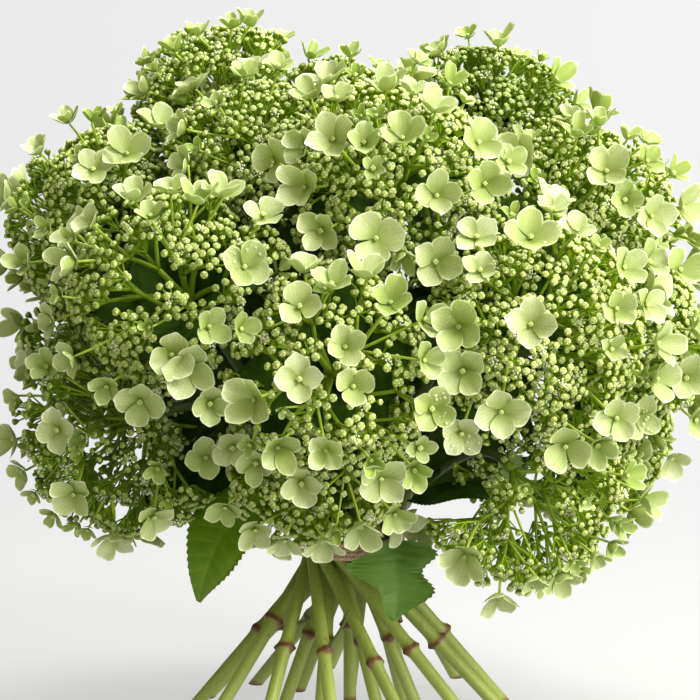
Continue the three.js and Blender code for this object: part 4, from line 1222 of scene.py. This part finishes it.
def build_inner_leaves():
    """Leaves left on the stems inside the bouquet, in the dark between the heads, painted near black as
    painted shade.
    """
    draw = seeded(77)
    skin = Skin()
    for head in heads:
        for share in (0.45,) if head.name in SEEN_THROUGH else (0.45, 0.72):
            line = bezier(curves[head.name], [share + 0.1 * draw(), min(1.0, share + 0.2)])
            base = line[0]
            grow = unit(line[1] - line[0])
            turn = math.tau * draw()
            way = unit(around(turn, *sideways(grow)) + grow * (0.5 + 0.6 * draw()))
            long = mix(*INNER_LEAF, draw())
            # It ends before it would come out between the heads.
            while long > SHORTEST_LEAF and outside(base + way * long):
                long -= 3
            if long > SHORTEST_LEAF:
                up = unit(np.cross(np.cross(way, grow), way))
                add_blade(skin, base + way * 5, base + way * long, up, long * 0.72)
                add_leaf_stalk(skin, base, base + way * 6, 1.1)
    for base, tip in INNER_BY_HAND:
        add_blade(skin, base, tip, (0.2, 1.0, 0.1), 36, crumple=0.1)
    skin.piece("inner_leaves", DARK_LEAF, "leaves")


for row in LEAVES:
    build_leaf(*row)
build_inner_leaves()
for bloom in blooms:
    build_collar(bloom.head, bloom.leaves)


# ---- Binding ----
def build_binding():
    """Twine wound round the neck, in plies twisted together, with a knot in front."""
    skin = Skin()
    turns = TIE["turns"]
    half = turns * TIE["pitch"] / 2
    share = np.linspace(0, 1, 168 * turns)
    angle = math.tau * turns * share + 0.6
    height = NECK_HEIGHT - half + TIE["pitch"] / 2 + (2 * half - TIE["pitch"]) * share
    for side in range(PLIES):
        twist = math.tau * (turns * TWISTS_PER_TURN * share + side / PLIES)
        radius = TIE["inner"] + 0.55 + 0.62 + PLY_RADIUS * np.cos(twist)
        path = [radius * np.cos(angle), radius * np.sin(angle), height + PLY_RADIUS * np.sin(twist)]
        add_tube(skin, np.stack(path, axis=1), 0.70, 7, strand=side * 0.25)
    # The knot is a loop over the turns and two short ends.
    front = np.array([10.0, -math.sqrt((TIE["inner"] + TIE["thickness"] + 0.6) ** 2 - 100), NECK_HEIGHT])
    turned = math.tau * np.linspace(0, 1, 33)
    loop = np.stack([1.6 * np.sin(turned), -0.8 - 1.0 * np.cos(turned), 5.6 * np.cos(turned)], axis=1)
    ends = [
        [[-2.5, -0.6, 1.5], [0.5, -2.2, 2.0], [4.0, -2.0, 3.6], [7.0, -0.4, 2.4], [9.5, 1.0, -0.8]],
        [[2.5, -0.6, -1.0], [-0.5, -2.2, -0.5], [-3.5, -1.8, 1.0], [-6.5, -0.6, -1.2], [-8.5, 0.2, -4.4]],
    ]
    steps = 60
    for k, path in enumerate([loop] + ends):
        path = front + np.array(path)
        share = np.linspace(0, len(path) - 1, steps)
        smooth = np.stack([np.interp(share, np.arange(len(path)), path[:, j]) for j in range(3)], axis=1)
        for side in (0, 1):
            twist = 12 * np.linspace(0, 1, steps) + math.pi * side
            ply = smooth + 0.42 * np.stack([0 * twist, np.cos(twist), np.sin(twist)], axis=1)
            add_tube(skin, ply, 0.62, 7, strand=0.1 + 0.2 * k)
    skin.piece("twine_turns", TWINE, "twine", ["binding_twine"])


build_binding()


# ---- Studio ----
def floor_paint(look):
    # The floor glows with painted light, and like the room it is a little brighter to the right.
    place = look.place()
    apart = look.add("SeparateXYZ", "X", {"Vector": place})
    surface = look.add("BsdfPrincipled", "BSDF", {
        "Base Color": (0.12, 0.12, 0.12, 1),
        "Roughness": 0.9,
        "Emission Color": WHITE,
        "Emission Strength": look.maths("MULTIPLY_ADD", apart, 0.12, 0.575),
    })
    # It fades out into the pale room, so that no line shows where it ends.
    far = look.add("VectorMath", "Value", {0: place}, operation="LENGTH")
    fade = look.ramp(far, (0.2, BLACK), (0.75, WHITE))
    surface = look.mix_shaders(fade, surface, look.add("BsdfTransparent", "BSDF"))
    look.add("OutputMaterial", None, {"Surface": surface})


def build_floor(size=1.1):
    mesh = bpy.data.meshes.new("floor")
    corners = [(-size, -size, 0), (size, -size, 0), (size, size, 0), (-size, size, 0)]
    mesh.from_pydata(corners, [], [(0, 1, 2, 3)])
    mesh.materials.append(painted("floor", floor_paint))
    floor = bpy.data.objects.new("floor", mesh)
    bpy.context.scene.collection.objects.link(floor)


def build_room():
    """The room is seen brighter than it lights, and a little brighter to the right."""
    world = bpy.data.worlds.new("studio")
    bpy.context.scene.world = world
    world.use_nodes = True
    look = Look(world.node_tree)
    light = look.nodes["Background"]
    light.inputs["Color"].default_value = (1.0, 1.0, 0.70, 1)
    seen = look.add("Background", None, {"Color": WHITE})
    way = look.add("TexCoord", "Generated")
    for part, slope, middle, lowest, highest in (
        (seen, (0.30, 0.0, 0.0), 0.865, 0.82, 0.91),
        (light, (0.26, -0.24, -0.04), ROOM_LIGHT, 0.05, 1.0),
    ):
        along = look.add("VectorMath", "Value", {0: way, 1: slope}, operation="DOT_PRODUCT")
        level = look.maths("MAXIMUM", look.maths("ADD", along, middle), lowest)
        look.links.new(look.maths("MINIMUM", level, highest), part.inputs["Strength"])
    camera_ray = look.add("LightPath", "Is Camera Ray")
    both = look.mix_shaders(camera_ray, light.outputs["Background"], seen.outputs["Background"])
    look.links.new(both, look.nodes["World Output"].inputs["Surface"])


def add_lamp(name, place, target, size, power, colour):
    light = bpy.data.lights.new(name, "AREA")
    light.shape = "DISK"
    light.size = size
    light.energy = power
    light.color = colour
    lamp = bpy.data.objects.new(name, light)
    lamp.location = place
    lamp.rotation_euler = (Vector(target) - Vector(place)).to_track_quat("-Z", "Y").to_euler()
    bpy.context.scene.collection.objects.link(lamp)


# In metres and watts.
build_floor()
build_room()
add_lamp("key", (1.0, -0.85, 1.35), (0, 0, 0.2), 0.8, 41, (1.0, 0.98, 0.95))
add_lamp("bounce", (0.95, -0.6, 0.10), (0.05, 0, 0.12), 0.7, 9, (1.0, 1.0, 0.90))
add_lamp("top", (0.35, 0.45, 1.75), (0, 0, 0.2), 1.0, 50, (1.0, 0.99, 0.94))

# ---- Camera ----
camera_data = bpy.data.cameras.new("camera")
camera_data.sensor_width = SENSOR_WIDTH
camera_data.lens = SENSOR_WIDTH * CAMERA_DISTANCE / FRAME_WIDTH
camera = bpy.data.objects.new("camera", camera_data)
behind = np.array([0, -math.cos(CAMERA_RISE), math.sin(CAMERA_RISE)]) * CAMERA_DISTANCE
camera.location = (CAMERA_TARGET + behind + NECK_MIDDLE) * MM
camera.rotation_euler = (math.pi / 2 - CAMERA_RISE, 0, 0)
bpy.context.scene.collection.objects.link(camera)
bpy.context.scene.camera = camera
bpy.context.scene.view_settings.view_transform = "Standard"
